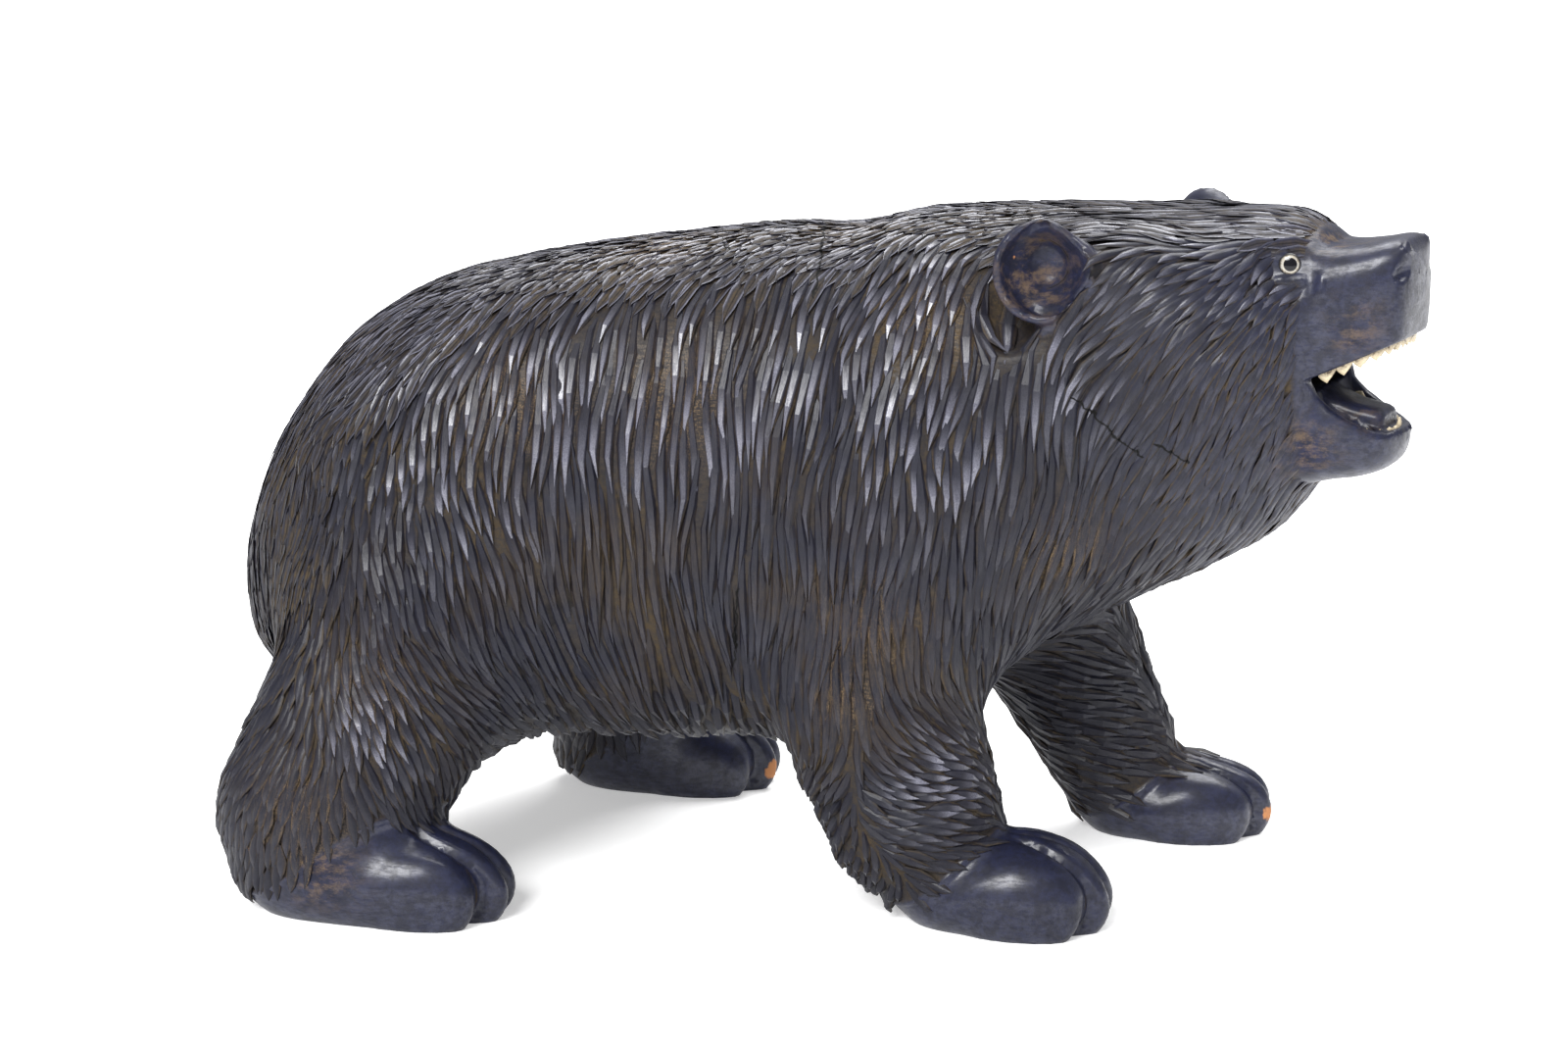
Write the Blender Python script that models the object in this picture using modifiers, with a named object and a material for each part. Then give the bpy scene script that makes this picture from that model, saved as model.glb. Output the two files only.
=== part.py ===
"""A carved wooden bear, walking on all fours with its head turned to its right and its mouth open.

The body is one block of wood. Two glass eyes sit in drilled sockets and two cut tooth strips sit in
grooves in the jaws. +X is the way the bear walks, +Y its left side and +Z up, and the origin is on the
ground under the middle of its box. Sizes of pieces are in metres. The figure itself is written in units
of 1/455 of the body length, so that its pose and proportions grow with it.
"""

import math

import bmesh
import bpy
import numpy as np
from mathutils import Euler, Matrix, Vector, kdtree

# Driving sizes
BODY_LENGTH = 0.455  # rump to nose, measured along the body before the head is turned
HEAD_TURN = math.radians(18.0)  # towards the bear's right
EYE_DIAMETER = 0.0080
EYE_PROUD = 0.0017  # how far the glass dome stands out of its socket
EYE_SEAT = 0.0008  # depth of the eye's rim under the skin
EYE_STEM = 0.0040
TOOTH_PITCH = 0.0048
TOOTH_LENGTH = 0.0042
STRIP_THICKNESS = 0.0016
STRIP_ROOT = 0.0034  # depth of the strip inside its groove
CLEARANCE = 0.0003  # between each inset piece and the wood

# The locks of fur, in units
LOCK_WIDTH = 12.5
LOCK_LENGTH = 36.0
LOCK_DEPTH = 2.6
LOCK_SEED = 7

# How fine the meshes are, in units and triangles
BLOCK_VOXEL = 2.6
SKIN_VOXEL = 2.0
WOOD_TRIANGLES = 7500

UNIT = BODY_LENGTH / 455.0
NAPE = 95.0  # where along the body the head turns
RIGHT, LEFT = -1, 1

# The trunk, neck and skull as sections along X: where, top, bottom, half width
TRUNK = [
    (-224, 107, 103, 2), (-222, 129, 88, 24), (-216, 148, 77, 38), (-205, 172.5, 70, 51),
    (-184, 202, 65, 62), (-164, 218, 60, 68), (-145, 227.5, 57, 71), (-124, 233.5, 56, 73),
    (-90, 240.5, 54, 74), (-51, 246, 53, 74), (-13, 250.5, 54, 73), (14, 251, 58, 74),
    (38, 256.5, 68, 76), (60, 258.5, 78, 78), (84, 259.5, 91, 79), (106, 260.5, 104, 77),
    (122, 261, 113, 72), (140, 261.5, 122, 67), (158, 262.6, 132, 59), (174, 263.4, 142, 48),
    (186, 261.8, 155, 37), (193, 257.5, 168, 29), (198, 248, 190, 18), (200, 226, 213, 3),
]
TRUNK_POWER = 2.5

# The upper jaw with the nose, the lower jaw, and the tongue
MUZZLE = [
    (170, 249, 186, 24), (190, 252.5, 192, 27.5), (203, 253, 198, 26), (213, 254.5, 203, 24),
    (220, 256, 207, 21.5), (224.5, 255.5, 212, 19), (226.7, 251.5, 221, 15), (227.6, 246, 233, 6),
]
MUZZLE_POWER = 4.0
JAW = [
    (168, 206, 152, 22), (188, 206, 163, 26), (200, 206, 167, 25), (210, 205, 169, 22.5),
    (218, 202, 172, 18.5), (222.5, 198, 176, 13), (224.4, 190, 181, 5),
]
JAW_POWER = 2.8
TONGUE = [
    (180, 204, 190, 9), (196, 199.5, 188, 11.5), (207, 195.8, 184, 11), (216, 194.2, 182, 10),
    (218.3, 192.5, 184, 8.8),
]
TONGUE_POWER = 4.0

# Legs: the mass in the body, both ends of the limb with their radii, how softly it folds into the belly,
# and the foot from its heel forwards with the height of its instep as a share of the tallest
LEGS = {
    "right_hind": dict(mass=((-136, -38, 124), (64, 42, 72)), upper=((-147, -60, 94), 45), fold=18.0,
                       ankle=((-175.5, -84, 36), 40), slim=0.72, heel=(-209, -87), length=108, heading=1,
                       rise=0.93),
    "left_hind": dict(mass=((-118, 38, 124), (64, 42, 72)), upper=((-118, 60, 94), 45), fold=18.0,
                      ankle=((-92, 84, 36), 37), slim=0.72, heel=(-128, 86), length=98, heading=2,
                      rise=0.96),
    "right_front": dict(mass=((32, -44, 146), (56, 40, 76)), upper=((26, -50, 90), 38), fold=13.0,
                        ankle=((45, -57, 39), 33), slim=0.84, heel=(34, -58), length=86, heading=-2,
                        rise=0.93),
    "left_front": dict(mass=((60, 42, 144), (50, 38, 74)), upper=((82, 50, 92), 34), fold=13.0,
                       ankle=((109, 57, 36), 27), slim=0.88, heel=(93, 58), length=83, heading=4,
                       rise=0.72),
}
FOOT_HALF_WIDTH = 25
TOES = 4
TOE_HEIGHT = 28

EARS = {RIGHT: (111.5, -68, 244.5), LEFT: (126, 68, 242.5)}
EAR_FACING = (0.32, 0.93, 0.12)
EAR_RADIUS = 18.8
EAR_WALL = 2.8
EAR_DEPTH = 13.0
EAR_PINCH = 0.42  # how much the ear narrows towards its front

# The mouth: the corner of the lips, the slope of the upper lip, and the lower lip from the corner forwards
MOUTH_CORNER = (195.5, 206.0)
GAPE = math.radians(26.0)
LOWER_LIP = [(195.5, 205), (198, 200), (203, 195.5), (209, 191.8), (216.5, 188.3), (221, 186.8), (226, 188)]
LIP_THICKNESS = 7.0
PALATE = 7.0  # how far the mouth is hollowed above the upper lip and below the lower one
MOUTH_FLOOR = 5.0
THROAT = 184.0
MOUTH_FRONT = 217.5

EYE_PLACE = (187.5, 246.5)
EYE_FACING = (0.30, 0.93, 0.12)

# Where each tooth strip runs from its near end to the front: forwards, half the width, height over the lip
UPPER_ARCH = [(198.5, 22.3, 0), (208, 21.6, 0), (216, 19.4, 0), (221, 15.4, 0), (223.3, 9, 0), (224, 0, 0)]
LOWER_ARCH = [(200, 15.6, -3.6), (209, 14.9, -3.6), (216, 11.8, -2.4), (219.7, 7.0, -0.6), (221.2, 0, 0)]


def unit(vector):
    vector = np.asarray(vector, float)
    return vector / np.linalg.norm(vector)


def smooth_step(value, low, high):
    t = np.clip((value - low) / (high - low), 0.0, 1.0)
    return t * t * (3.0 - 2.0 * t)


def join(a, b, blend):
    """The union of two forms, with a fillet that starts where they are within blend of each other."""
    fillet = np.maximum(blend - np.abs(a - b), 0.0) / blend
    return np.minimum(a, b) - fillet * fillet * blend * 0.25


def cut_to(a, b, blend):
    """What forms a and b have in common."""
    return -join(-a, -b, blend)


def cut(a, b, blend):
    """Form a with form b taken out of it."""
    return cut_to(a, -b, blend)


def turned(points, direction=1.0):
    """Points of the turned head laid back on the straight body, or the other way round with direction -1."""
    angle = direction * HEAD_TURN * smooth_step(points[:, 0], NAPE - 55.0, NAPE + 45.0)
    c, s = np.cos(angle), np.sin(angle)
    out = points.copy()
    out[:, 0] = c * (points[:, 0] - NAPE) - s * points[:, 1] + NAPE
    out[:, 1] = s * (points[:, 0] - NAPE) + c * points[:, 1]
    return out


def on_head(points, direction=1.0):
    """The same for what is carved on the skull, which turns as one."""
    c, s = math.cos(direction * HEAD_TURN), math.sin(direction * HEAD_TURN)
    out = points.copy()
    out[:, 0] = c * (points[:, 0] - NAPE) - s * points[:, 1] + NAPE
    out[:, 1] = s * (points[:, 0] - NAPE) + c * points[:, 1]
    return out


def blob(points, centre, radii, tilt=0.0, heading=0.0):
    """An ellipsoid, tilted nose up and turned about the vertical."""
    turn = np.array(Euler((0.0, -tilt, heading)).to_matrix())
    local = (points - np.asarray(centre, float)) @ turn
    radii = np.asarray(radii, float)
    k0 = np.linalg.norm(local / radii, axis=1)
    k1 = np.linalg.norm(local / radii**2, axis=1)
    return k0 * (k0 - 1.0) / np.maximum(k1, 1e-9)


def limb(points, start, start_radius, end, end_radius, slim=1.0):
    """A tapered bar with round ends, and narrower across the body by slim."""
    shrink = np.array([1.0, 1.0 / slim, 1.0])
    a, b = np.asarray(start, float) * shrink, np.asarray(end, float) * shrink
    p = points * shrink
    along = np.clip(((p - a) @ (b - a)) / ((b - a) @ (b - a)), 0.0, 1.0)
    radius = start_radius + (end_radius - start_radius) * along
    return (np.linalg.norm(p - a - along[:, None] * (b - a), axis=1) - radius) * slim


def through(a, b, c, d, t):
    """The smooth curve from b to c that also heeds a and d, at each share t of the way."""
    bend, twist = 2 * a - 5 * b + 4 * c - d, 3 * b - a - 3 * c + d
    return 0.5 * (2 * b + (c - a) * t + bend * t**2 + twist * t**3)


def fair_sections(table, samples=24):
    """The sections drawn out with a smooth curve through every station."""
    rows = np.array(table, float)
    padded = np.vstack([2 * rows[0] - rows[1], rows, 2 * rows[-1] - rows[-2]])
    t = np.linspace(0.0, 1.0, samples, endpoint=False)[:, None]
    out = []
    for a, b, c, d in zip(padded, padded[1:], padded[2:], padded[3:]):
        out.append(through(a, b, c, d, t))
    out = np.vstack(out + [rows[-1:]])
    out[:, 0] = np.maximum.accumulate(out[:, 0])
    return out


SECTIONS = {name: fair_sections(table) for name, table in (
    ("trunk", TRUNK), ("muzzle", MUZZLE), ("jaw", JAW), ("tongue", TONGUE))}


def loft(points, name, power):
    """A body through the named sections, each a rounded rectangle."""
    rows = SECTIONS[name]
    x = np.clip(points[:, 0], rows[0, 0], rows[-1, 0])
    top, bottom, half_width = (np.interp(x, rows[:, 0], rows[:, i]) for i in (1, 2, 3))
    half_height = np.maximum((top - bottom) / 2.0, 0.5)
    across, up = points[:, 1], points[:, 2] - (top + bottom) / 2.0
    share = np.abs(across / np.maximum(half_width, 0.5)) ** power + np.abs(up / half_height) ** power
    share = share ** (1.0 / power)
    radius = np.hypot(across, up)
    distance = radius * (1.0 - 1.0 / np.maximum(share, 1e-6))
    distance = np.where(radius < 1e-6, -np.minimum(half_width, half_height), distance)
    beyond = np.abs(points[:, 0] - x)
    return np.where(beyond > 0, np.hypot(np.maximum(distance, 0.0), beyond), distance)


def in_foot(points, leg):
    """Places seen from a foot: forwards from the heel, to its left, and up."""
    c, s = math.cos(math.radians(leg["heading"])), math.sin(math.radians(leg["heading"]))
    flat = points[:, :2] - np.array(leg["heel"], float)
    return np.column_stack([flat @ [c, s], flat @ [-s, c], points[:, 2]])


def foot_masses(leg):
    """The egg shapes that a foot is rounded up from: the sole, the humped instep and a lobe for each toe."""
    length, half, rise = leg["length"], FOOT_HALF_WIDTH, leg["rise"]
    masses = [((0.45 * length, 0, 13), (0.45 * length, half, 20))]
    masses.append(((0.62 * length, 0, 15 * rise), (0.31 * length, half * 0.94, 22 * rise)))
    spread = 2.0 * half / TOES
    for toe in range(TOES):
        side = (toe - (TOES - 1) / 2.0) * spread * 0.93
        back = 21.0 + 14.4 * (side / half) ** 2
        lobe = (21.0, spread * 0.60, TOE_HEIGHT * 0.60)
        masses.append(((length - back, side, TOE_HEIGHT * 0.36), lobe))
    return masses


def foot(points, leg):
    """A broad flat-soled foot with a humped instep and curled toes."""
    p = in_foot(points, leg)
    masses = foot_masses(leg)
    form = join(blob(p, *masses[0]), blob(p, *masses[1]), 10.0)
    toes = blob(p, *masses[2])
    for mass in masses[3:]:
        toes = join(toes, blob(p, *mass), 1.2)
    return join(form, toes, 4.0)


def near(points, centre, reach):
    return np.linalg.norm(points - np.asarray(centre, float), axis=1) < reach


def add(form, points, part, centre, reach, blend):
    """Joins one part to the form where the points are close enough to feel it."""
    close = near(points, centre, reach + blend)
    if close.any():
        form[close] = join(form[close], part(points[close]), blend)


def take(form, points, part, centre, reach, blend):
    close = near(points, centre, reach + blend)
    if close.any():
        form[close] = cut(form[close], part(points[close]), blend)


def add_leg(form, points, leg):
    centre, radii = leg["mass"]
    (upper, upper_radius), (ankle, ankle_radius) = leg["upper"], leg["ankle"]
    heel, length = leg["heel"], leg["length"]
    add(form, points, lambda p: blob(p, centre, radii), centre, max(radii), 20.0)
    middle = (np.array(upper) + np.array(ankle)) / 2.0
    reach = np.linalg.norm(np.array(upper) - np.array(ankle)) / 2.0 + upper_radius
    bar = lambda p: limb(p, upper, upper_radius, ankle, ankle_radius, leg["slim"])
    add(form, points, bar, middle, reach, leg["fold"])
    sole = (heel[0] + length / 2.0, heel[1], 15.0)
    add(form, points, lambda p: foot(p, leg), sole, length / 2.0 + 12.0, 6.0)


def ear_frame(side):
    """The ear's own axes as columns: outwards through the cup, forwards, and up."""
    out = unit((EAR_FACING[0], side * EAR_FACING[1], EAR_FACING[2]))
    up = unit(np.array([0.0, 0.0, 1.0]) - out * out[2])
    forward = np.cross(up, out)
    return np.column_stack([out, forward if forward[0] > 0 else -forward, up])


def ear_cup(points, side, radius, depth, offset):
    """Half of an egg, narrower towards the front."""
    local = (points - np.array(EARS[side], float)) @ ear_frame(side)
    pinch = 1.0 - EAR_PINCH * np.clip(local[:, 1] / EAR_RADIUS, 0.0, 1.0) ** 1.4
    local[:, 2] = (local[:, 2] - 2.0 * (1.0 - pinch)) / pinch
    return blob(local, (offset, 0, 0), (depth, radius - 1.0, radius)), local[:, 0]


def ear_shell(points, side):
    bowl, out = ear_cup(points, side, EAR_RADIUS, EAR_DEPTH, 0.0)
    return cut(bowl, 1.5 - out, 1.5)


def ear_hollow(points, side):
    return ear_cup(points, side, EAR_RADIUS - EAR_WALL, EAR_DEPTH - EAR_WALL + 2.0, 2.0)[0]


def ear_recess(side):
    """The dent in the neck behind and below the ear: its middle and its radii."""
    ear = EARS[side]
    return (ear[0] - 12, ear[1] + side * 2, ear[2] - 11), (12, 12, 16)


def ear_bars(ear):
    """The stem that runs from the ear's front into the cheek, and its root: each two ends with radii."""
    stem = ((ear[0] + 14, ear[1] * 0.90, ear[2] + 3), 6.0, (ear[0] + 26, ear[1] * 0.72, ear[2] - 2), 13.0)
    root = ((ear[0] + 1, ear[1] * 0.80, ear[2]), 9.0, (ear[0] + 2, ear[1] * 0.60, ear[2] - 4), 13.0)
    return stem, root


def temple(side):
    """The swelling of the skull under an ear: its middle and its radii."""
    return (EARS[side][0] + 14, side * 38, 234), (38, 25, 24)


def lips(x):
    """The height of the upper and the lower lip at each place along the jaws."""
    upper = MOUTH_CORNER[1] + (x - MOUTH_CORNER[0]) * math.tan(GAPE)
    places, heights = zip(*LOWER_LIP)
    return upper, np.interp(x, places, heights)


def gape(points):
    """The air between the lips."""
    upper, lower = lips(points[:, 0])
    return np.maximum(points[:, 2] - upper, lower - points[:, 2]) * math.cos(GAPE)


def jaw_half_width(name, x):
    rows = SECTIONS[name]
    return np.interp(x, rows[:, 0], rows[:, 3])


def mouth_hollow(points):
    """The hollow behind the lips, from the throat to the front teeth."""
    x, y, z = points.T
    upper, lower = lips(np.maximum(x, MOUTH_CORNER[0]))
    width = np.minimum(jaw_half_width("muzzle", x), jaw_half_width("jaw", x) + 3.0) - LIP_THICKNESS
    form = cut_to(z - upper - PALATE, lower - MOUTH_FLOOR - z, 4.0)
    form = cut_to(form, np.abs(y) - np.maximum(width, 2.0), 4.0)
    form = cut_to(form, THROAT - x, 6.0)
    return cut_to(form, x - MOUTH_FRONT - 0.14 * np.maximum(z - 195.0, 0.0), 4.0)


def head_details(form, points):
    """Ears, jaws, mouth and nose, all on the straight head."""
    for side in (RIGHT, LEFT):
        ear = EARS[side]
        skull, behind = temple(side), ear_recess(side)
        add(form, points, lambda p: blob(p, *skull), skull[0], 38, 12.0)
        take(form, points, lambda p: blob(p, *behind), behind[0], 30, 6.0)
        add(form, points, lambda p: ear_shell(p, side), ear, EAR_RADIUS + 2, 3.0)
        stem, root = ear_bars(ear)
        add(form, points, lambda p: limb(p, *stem), stem[0], 36, 8.0)
        add(form, points, lambda p: limb(p, *root), root[0], 34, 6.0)
        take(form, points, lambda p: ear_hollow(p, side), ear, EAR_RADIUS + 6, 1.0)
    add(form, points, lambda p: loft(p, "muzzle", MUZZLE_POWER), (200, 0, 224), 52, 7.0)
    add(form, points, lambda p: loft(p, "jaw", JAW_POWER), (198, 0, 186), 46, 6.0)
    take(form, points, gape, (222, 0, 206), 44, 1.5)
    take(form, points, mouth_hollow, (204, 0, 206), 46, 1.5)
    add(form, points, lambda p: loft(p, "tongue", TONGUE_POWER), (202, 0, 196), 30, 1.0)
    for side in (RIGHT, LEFT):
        nostril, slant = (229.0, side * 17.5, 247.0), math.radians(35.0)
        take(form, points, lambda p: blob(p, nostril, (7.0, 6.0, 3.2), slant), nostril, 9, 1.5)
        socket = (EYE_PLACE[0] + 3, side * 34, EYE_PLACE[1] + 1)
        take(form, points, lambda p: blob(p, socket, (12, 8, 11)), socket, 16, 6.0)


def bear_form(points):
    """How far each point is outside the smooth bear, in units, before the fur is cut."""
    straight = turned(points)
    form = loft(straight, "trunk", TRUNK_POWER)
    for leg in LEGS.values():
        add_leg(form, points, leg)
    head_details(form, on_head(points))
    return form


def slope(points, step=0.25):
    """The form and its gradient, from four corners of a small tetrahedron."""
    corners = np.array([(1, -1, -1), (-1, -1, 1), (-1, 1, -1), (1, 1, 1)], float)
    values = [bear_form(points + corner * step) for corner in corners]
    gradient = sum(value[:, None] * corner for value, corner in zip(values, corners)) / (4.0 * step)
    return sum(values) / 4.0, gradient


def draw_to_form(points, rounds=4, longest=3.0):
    """Moves every point along the gradient until it lies on the smooth bear."""
    points = points.copy()
    for _ in range(rounds):
        value, gradient = slope(points)
        step = value / np.maximum((gradient**2).sum(1), 1e-6)
        move = step[:, None] * gradient
        length = np.linalg.norm(move, axis=1)
        points -= move * np.minimum(1.0, longest / np.maximum(length, 1e-9))[:, None]
    _, gradient = slope(points)
    return points, gradient / np.linalg.norm(gradient, axis=1)[:, None]


# How the fur lies on the bear's left side: where, how far it holds, and which way the locks point there
FUR = [
    ((-212, 0, 150), 40, (-0.35, 0.25, -0.95)),
    ((-150, 30, 222), 45, (-0.85, 0.35, -0.45)),
    ((-60, 30, 240), 50, (-0.80, 0.45, -0.35)),
    ((30, 30, 248), 45, (-0.75, 0.55, -0.40)),
    ((-160, 65, 150), 45, (0.30, 0.10, -0.95)),
    ((-80, 72, 170), 50, (-0.10, 0.10, -1.00)),
    ((0, 74, 170), 50, (-0.05, 0.10, -1.00)),
    ((-60, 60, 90), 45, (0.10, -0.40, -0.95)),
    ((0, 55, 90), 40, (0.30, -0.40, -0.90)),
    ((55, 74, 190), 45, (-0.25, 0.10, -0.95)),
    ((100, 72, 190), 40, (-0.20, 0.05, -1.00)),
    ((150, 60, 215), 35, (-0.65, 0.20, -0.75)),
    ((150, 0, 262), 35, (-1.00, 0.10, 0.00)),
    ((150, 30, 140), 35, (-0.55, -0.30, -0.70)),
    ((-130, 90, 70), 40, (0.25, 0.10, -0.95)),
    ((60, 62, 70), 40, (-0.10, 0.10, -1.00)),
]


def lay_of_fur(points, normals):
    """The way the locks point at each place on the skin, along the skin."""
    side = np.where(points[:, 1] < 0, -1.0, 1.0)
    folded = points.copy()
    folded[:, 1] *= side
    total = np.zeros_like(points)
    for centre, reach, direction in FUR:
        gap = ((folded - np.array(centre, float)) ** 2).sum(1) / reach**2
        total += np.exp(-gap)[:, None] * unit(direction) + 1e-9 * unit(direction)
    total[:, 1] *= side
    total -= normals * (total * normals).sum(1)[:, None]
    return total / np.maximum(np.linalg.norm(total, axis=1), 1e-9)[:, None]


def furred(points):
    """How much fur is carved at each place: none on muzzle and paws, round the eyes or in the ears."""
    straight = on_head(points)
    x, z = straight[:, 0], straight[:, 2]
    out = 1.0 - smooth_step(x, 178, 196)
    for leg in LEGS.values():
        p = in_foot(points, leg)
        share = p[:, 0] / leg["length"]
        hem = 8.0 + 36.0 * smooth_step(share, 0.0, 0.62)
        here = (p[:, 0] > -20) & (share < 1.2) & (np.abs(p[:, 1]) < FOOT_HALF_WIDTH + 8)
        out = np.where(here, out * smooth_step(z - hem, -3.0, 3.0), out)
    for side in (RIGHT, LEFT):
        eye = (EYE_PLACE[0] + 1, side * 31, EYE_PLACE[1])
        out *= smooth_step(np.linalg.norm(straight - eye, axis=1), 9, 18)
        out *= smooth_step(np.linalg.norm(straight - EARS[side], axis=1), EAR_RADIUS + 1, EAR_RADIUS + 7)
    return out


def tree_of(points):
    tree = kdtree.KDTree(len(points))
    for index, point in enumerate(points):
        tree.insert(point, index)
    tree.balance()
    return tree


def around(tree, points, index, reach):
    """The numbers of the points within reach of one, and where they lie from it."""
    found = np.array([hit[1] for hit in tree.find_range(points[index], reach)])
    return found, points[found] - points[index]


def scatter(tree, points, lay, across, width, length, rng):
    """Places for the locks, no two of them closer than their width across the lay or length along it."""
    open_places = np.ones(len(points), bool)
    chosen = []
    for index in rng.permutation(len(points)):
        if not open_places[index]:
            continue
        chosen.append(index)
        found, gap = around(tree, points, index, length)
        spread = (gap @ lay[index] / length) ** 2 + (gap @ across[index] / width) ** 2
        open_places[found[spread < 1.0]] = False
    return chosen


def locks(points, normals, width, length, seed):
    """How deep each place is below the ridges between the locks, from 0 on a ridge to 1 in a gouge."""
    lay = lay_of_fur(points, normals)
    across = np.cross(normals, lay)
    tree = tree_of(points)
    rng = np.random.default_rng(seed)
    share = np.ones(len(points))
    for index in scatter(tree, points, lay, across, width * 0.82, length * 0.72, rng):
        found, gap = around(tree, points, index, length)
        along = gap @ lay[index] / length
        along = np.where(along > 0, along * 1.5, along * 1.1)
        beside = gap @ across[index] / width * 1.25
        share[found] = np.minimum(share[found], along**2 + beside**2)
    return 1.0 - np.sqrt(np.clip(share, 0.0, 1.0))


def new_collection(name):
    collection = bpy.data.collections.new(name)
    bpy.context.scene.collection.children.link(collection)
    return collection


def new_object(name, bm, collection, material=None):
    """A mesh object from a bmesh that was drawn in units."""
    bmesh.ops.scale(bm, vec=(UNIT, UNIT, UNIT), verts=bm.verts)
    bmesh.ops.recalc_face_normals(bm, faces=bm.faces)
    mesh = bpy.data.meshes.new(name)
    bm.to_mesh(mesh)
    bm.free()
    obj = bpy.data.objects.new(name, mesh)
    collection.objects.link(obj)
    if material:
        mesh.materials.append(material)
    return obj


def baked(obj):
    """The object's mesh with its modifiers carried out, in place of the old one."""
    depsgraph = bpy.context.evaluated_depsgraph_get()
    mesh = bpy.data.meshes.new_from_object(obj.evaluated_get(depsgraph))
    obj.modifiers.clear()
    obj.data = mesh
    return mesh


def remesh(obj, voxel):
    modifier = obj.modifiers.new("Remesh", "REMESH")
    modifier.mode = "VOXEL"
    modifier.voxel_size = voxel * UNIT
    return baked(obj)


def drill(obj, cutter):
    """Cuts one shape out of another, and keeps the cutter as a guide."""
    cutter.hide_render = True
    cutter.display_type = "WIRE"
    modifier = obj.modifiers.new(cutter.name, "BOOLEAN")
    modifier.operation = "DIFFERENCE"
    modifier.solver = "EXACT"
    modifier.object = cutter


def add_blob(bm, centre, radii, turn=None):
    made = bmesh.ops.create_uvsphere(bm, u_segments=24, v_segments=16, radius=1.0)["verts"]
    turn = turn or Matrix.Identity(4)
    shape = Matrix.Translation(Vector(centre)) @ turn @ Matrix.Diagonal((*radii, 1.0))
    bmesh.ops.transform(bm, matrix=shape, verts=made)
    return made


def half_egg(bm, centre, radii, axes, rim):
    """The part of an egg shape that lies less than rim outwards along its first axis, closed flat."""
    made = add_blob(bm, centre, radii, Matrix(axes.tolist()).to_4x4())
    parts = set(made)
    for v in made:
        parts.update(v.link_edges, v.link_faces)
    place = Vector(centre) + Vector(axes[:, 0]) * rim
    outwards = Vector(axes[:, 0])
    rest = bmesh.ops.bisect_plane(bm, geom=list(parts), plane_co=place, plane_no=outwards, clear_outer=True)
    bmesh.ops.holes_fill(bm, edges=[g for g in rest["geom_cut"] if isinstance(g, bmesh.types.BMEdge)])


def add_bar(bm, start, start_radius, end, end_radius, slim=1.0):
    """The hull of two balls."""
    made = []
    for centre, radius in ((start, start_radius), (end, end_radius)):
        ball = bmesh.ops.create_uvsphere(bm, u_segments=16, v_segments=10, radius=1.0)["verts"]
        size = Matrix.Diagonal((radius, radius * slim, radius, 1.0))
        bmesh.ops.transform(bm, matrix=Matrix.Translation(Vector(centre)) @ size, verts=ball)
        made += ball
    old_faces = list({f for v in made for f in v.link_faces})
    bmesh.ops.delete(bm, geom=old_faces, context="FACES_ONLY")
    hull = bmesh.ops.convex_hull(bm, input=made)
    inside = [g for g in hull["geom_interior"] if isinstance(g, bmesh.types.BMVert)]
    bmesh.ops.delete(bm, geom=inside, context="VERTS")


def add_loft(bm, table, power):
    """Rounded rectangles through the sections of a table, bridged one to the next."""
    before = set(bm.verts)
    loops = []
    for x, top, bottom, half_width in table:
        ring = bmesh.ops.create_circle(bm, segments=32, radius=1.0)["verts"]
        for v in ring:
            c, s = v.co.x, v.co.y
            across = math.copysign(abs(c) ** (2.0 / power), c) * half_width
            up = math.copysign(abs(s) ** (2.0 / power), s) * max((top - bottom) / 2.0, 0.5)
            v.co = (x, across, (top + bottom) / 2.0 + up)
        loops.append(ring)
    for a, b in zip(loops, loops[1:]):
        edges = {e for v in a + b for e in v.link_edges if len(e.link_faces) < 2}
        rims = [e for e in edges if all(v in a for v in e.verts) or all(v in b for v in e.verts)]
        bmesh.ops.bridge_loops(bm, edges=rims)
    bmesh.ops.holes_fill(bm, edges=[e for e in bm.edges if e.is_boundary])
    return [v for v in bm.verts if v not in before]


def turn(verts, how):
    """Puts what was drawn on the straight body where the turned head takes it."""
    for v, place in zip(verts, how(np.array([v.co[:] for v in verts]), -1.0)):
        v.co = place


def rough_block(collection):
    """The bear roughed out of simple shapes, close enough for its skin to be drawn onto the form."""
    bm = bmesh.new()
    turn(add_loft(bm, TRUNK, TRUNK_POWER), turned)
    for leg in LEGS.values():
        add_blob(bm, *leg["mass"])
        (upper, upper_radius), (ankle, ankle_radius) = leg["upper"], leg["ankle"]
        add_bar(bm, upper, upper_radius, ankle, ankle_radius, leg["slim"])
        heading = math.radians(leg["heading"])
        place = Matrix.Translation(Vector((*leg["heel"], 0.0))) @ Matrix.Rotation(heading, 4, "Z")
        for centre, radii in foot_masses(leg):
            add_blob(bm, place @ Vector(centre), radii, place.to_3x3().to_4x4())
    turn(add_loft(bm, MUZZLE, MUZZLE_POWER), on_head)
    turn(add_loft(bm, JAW, JAW_POWER), on_head)
    block = new_object("block", bm, collection)
    remesh(block, BLOCK_VOXEL)
    return block


def recess_cutter(collection):
    bm = bmesh.new()
    for side in EARS:
        add_blob(bm, *ear_recess(side))
    turn(list(bm.verts), on_head)
    return new_object("recesses", bm, collection)


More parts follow.
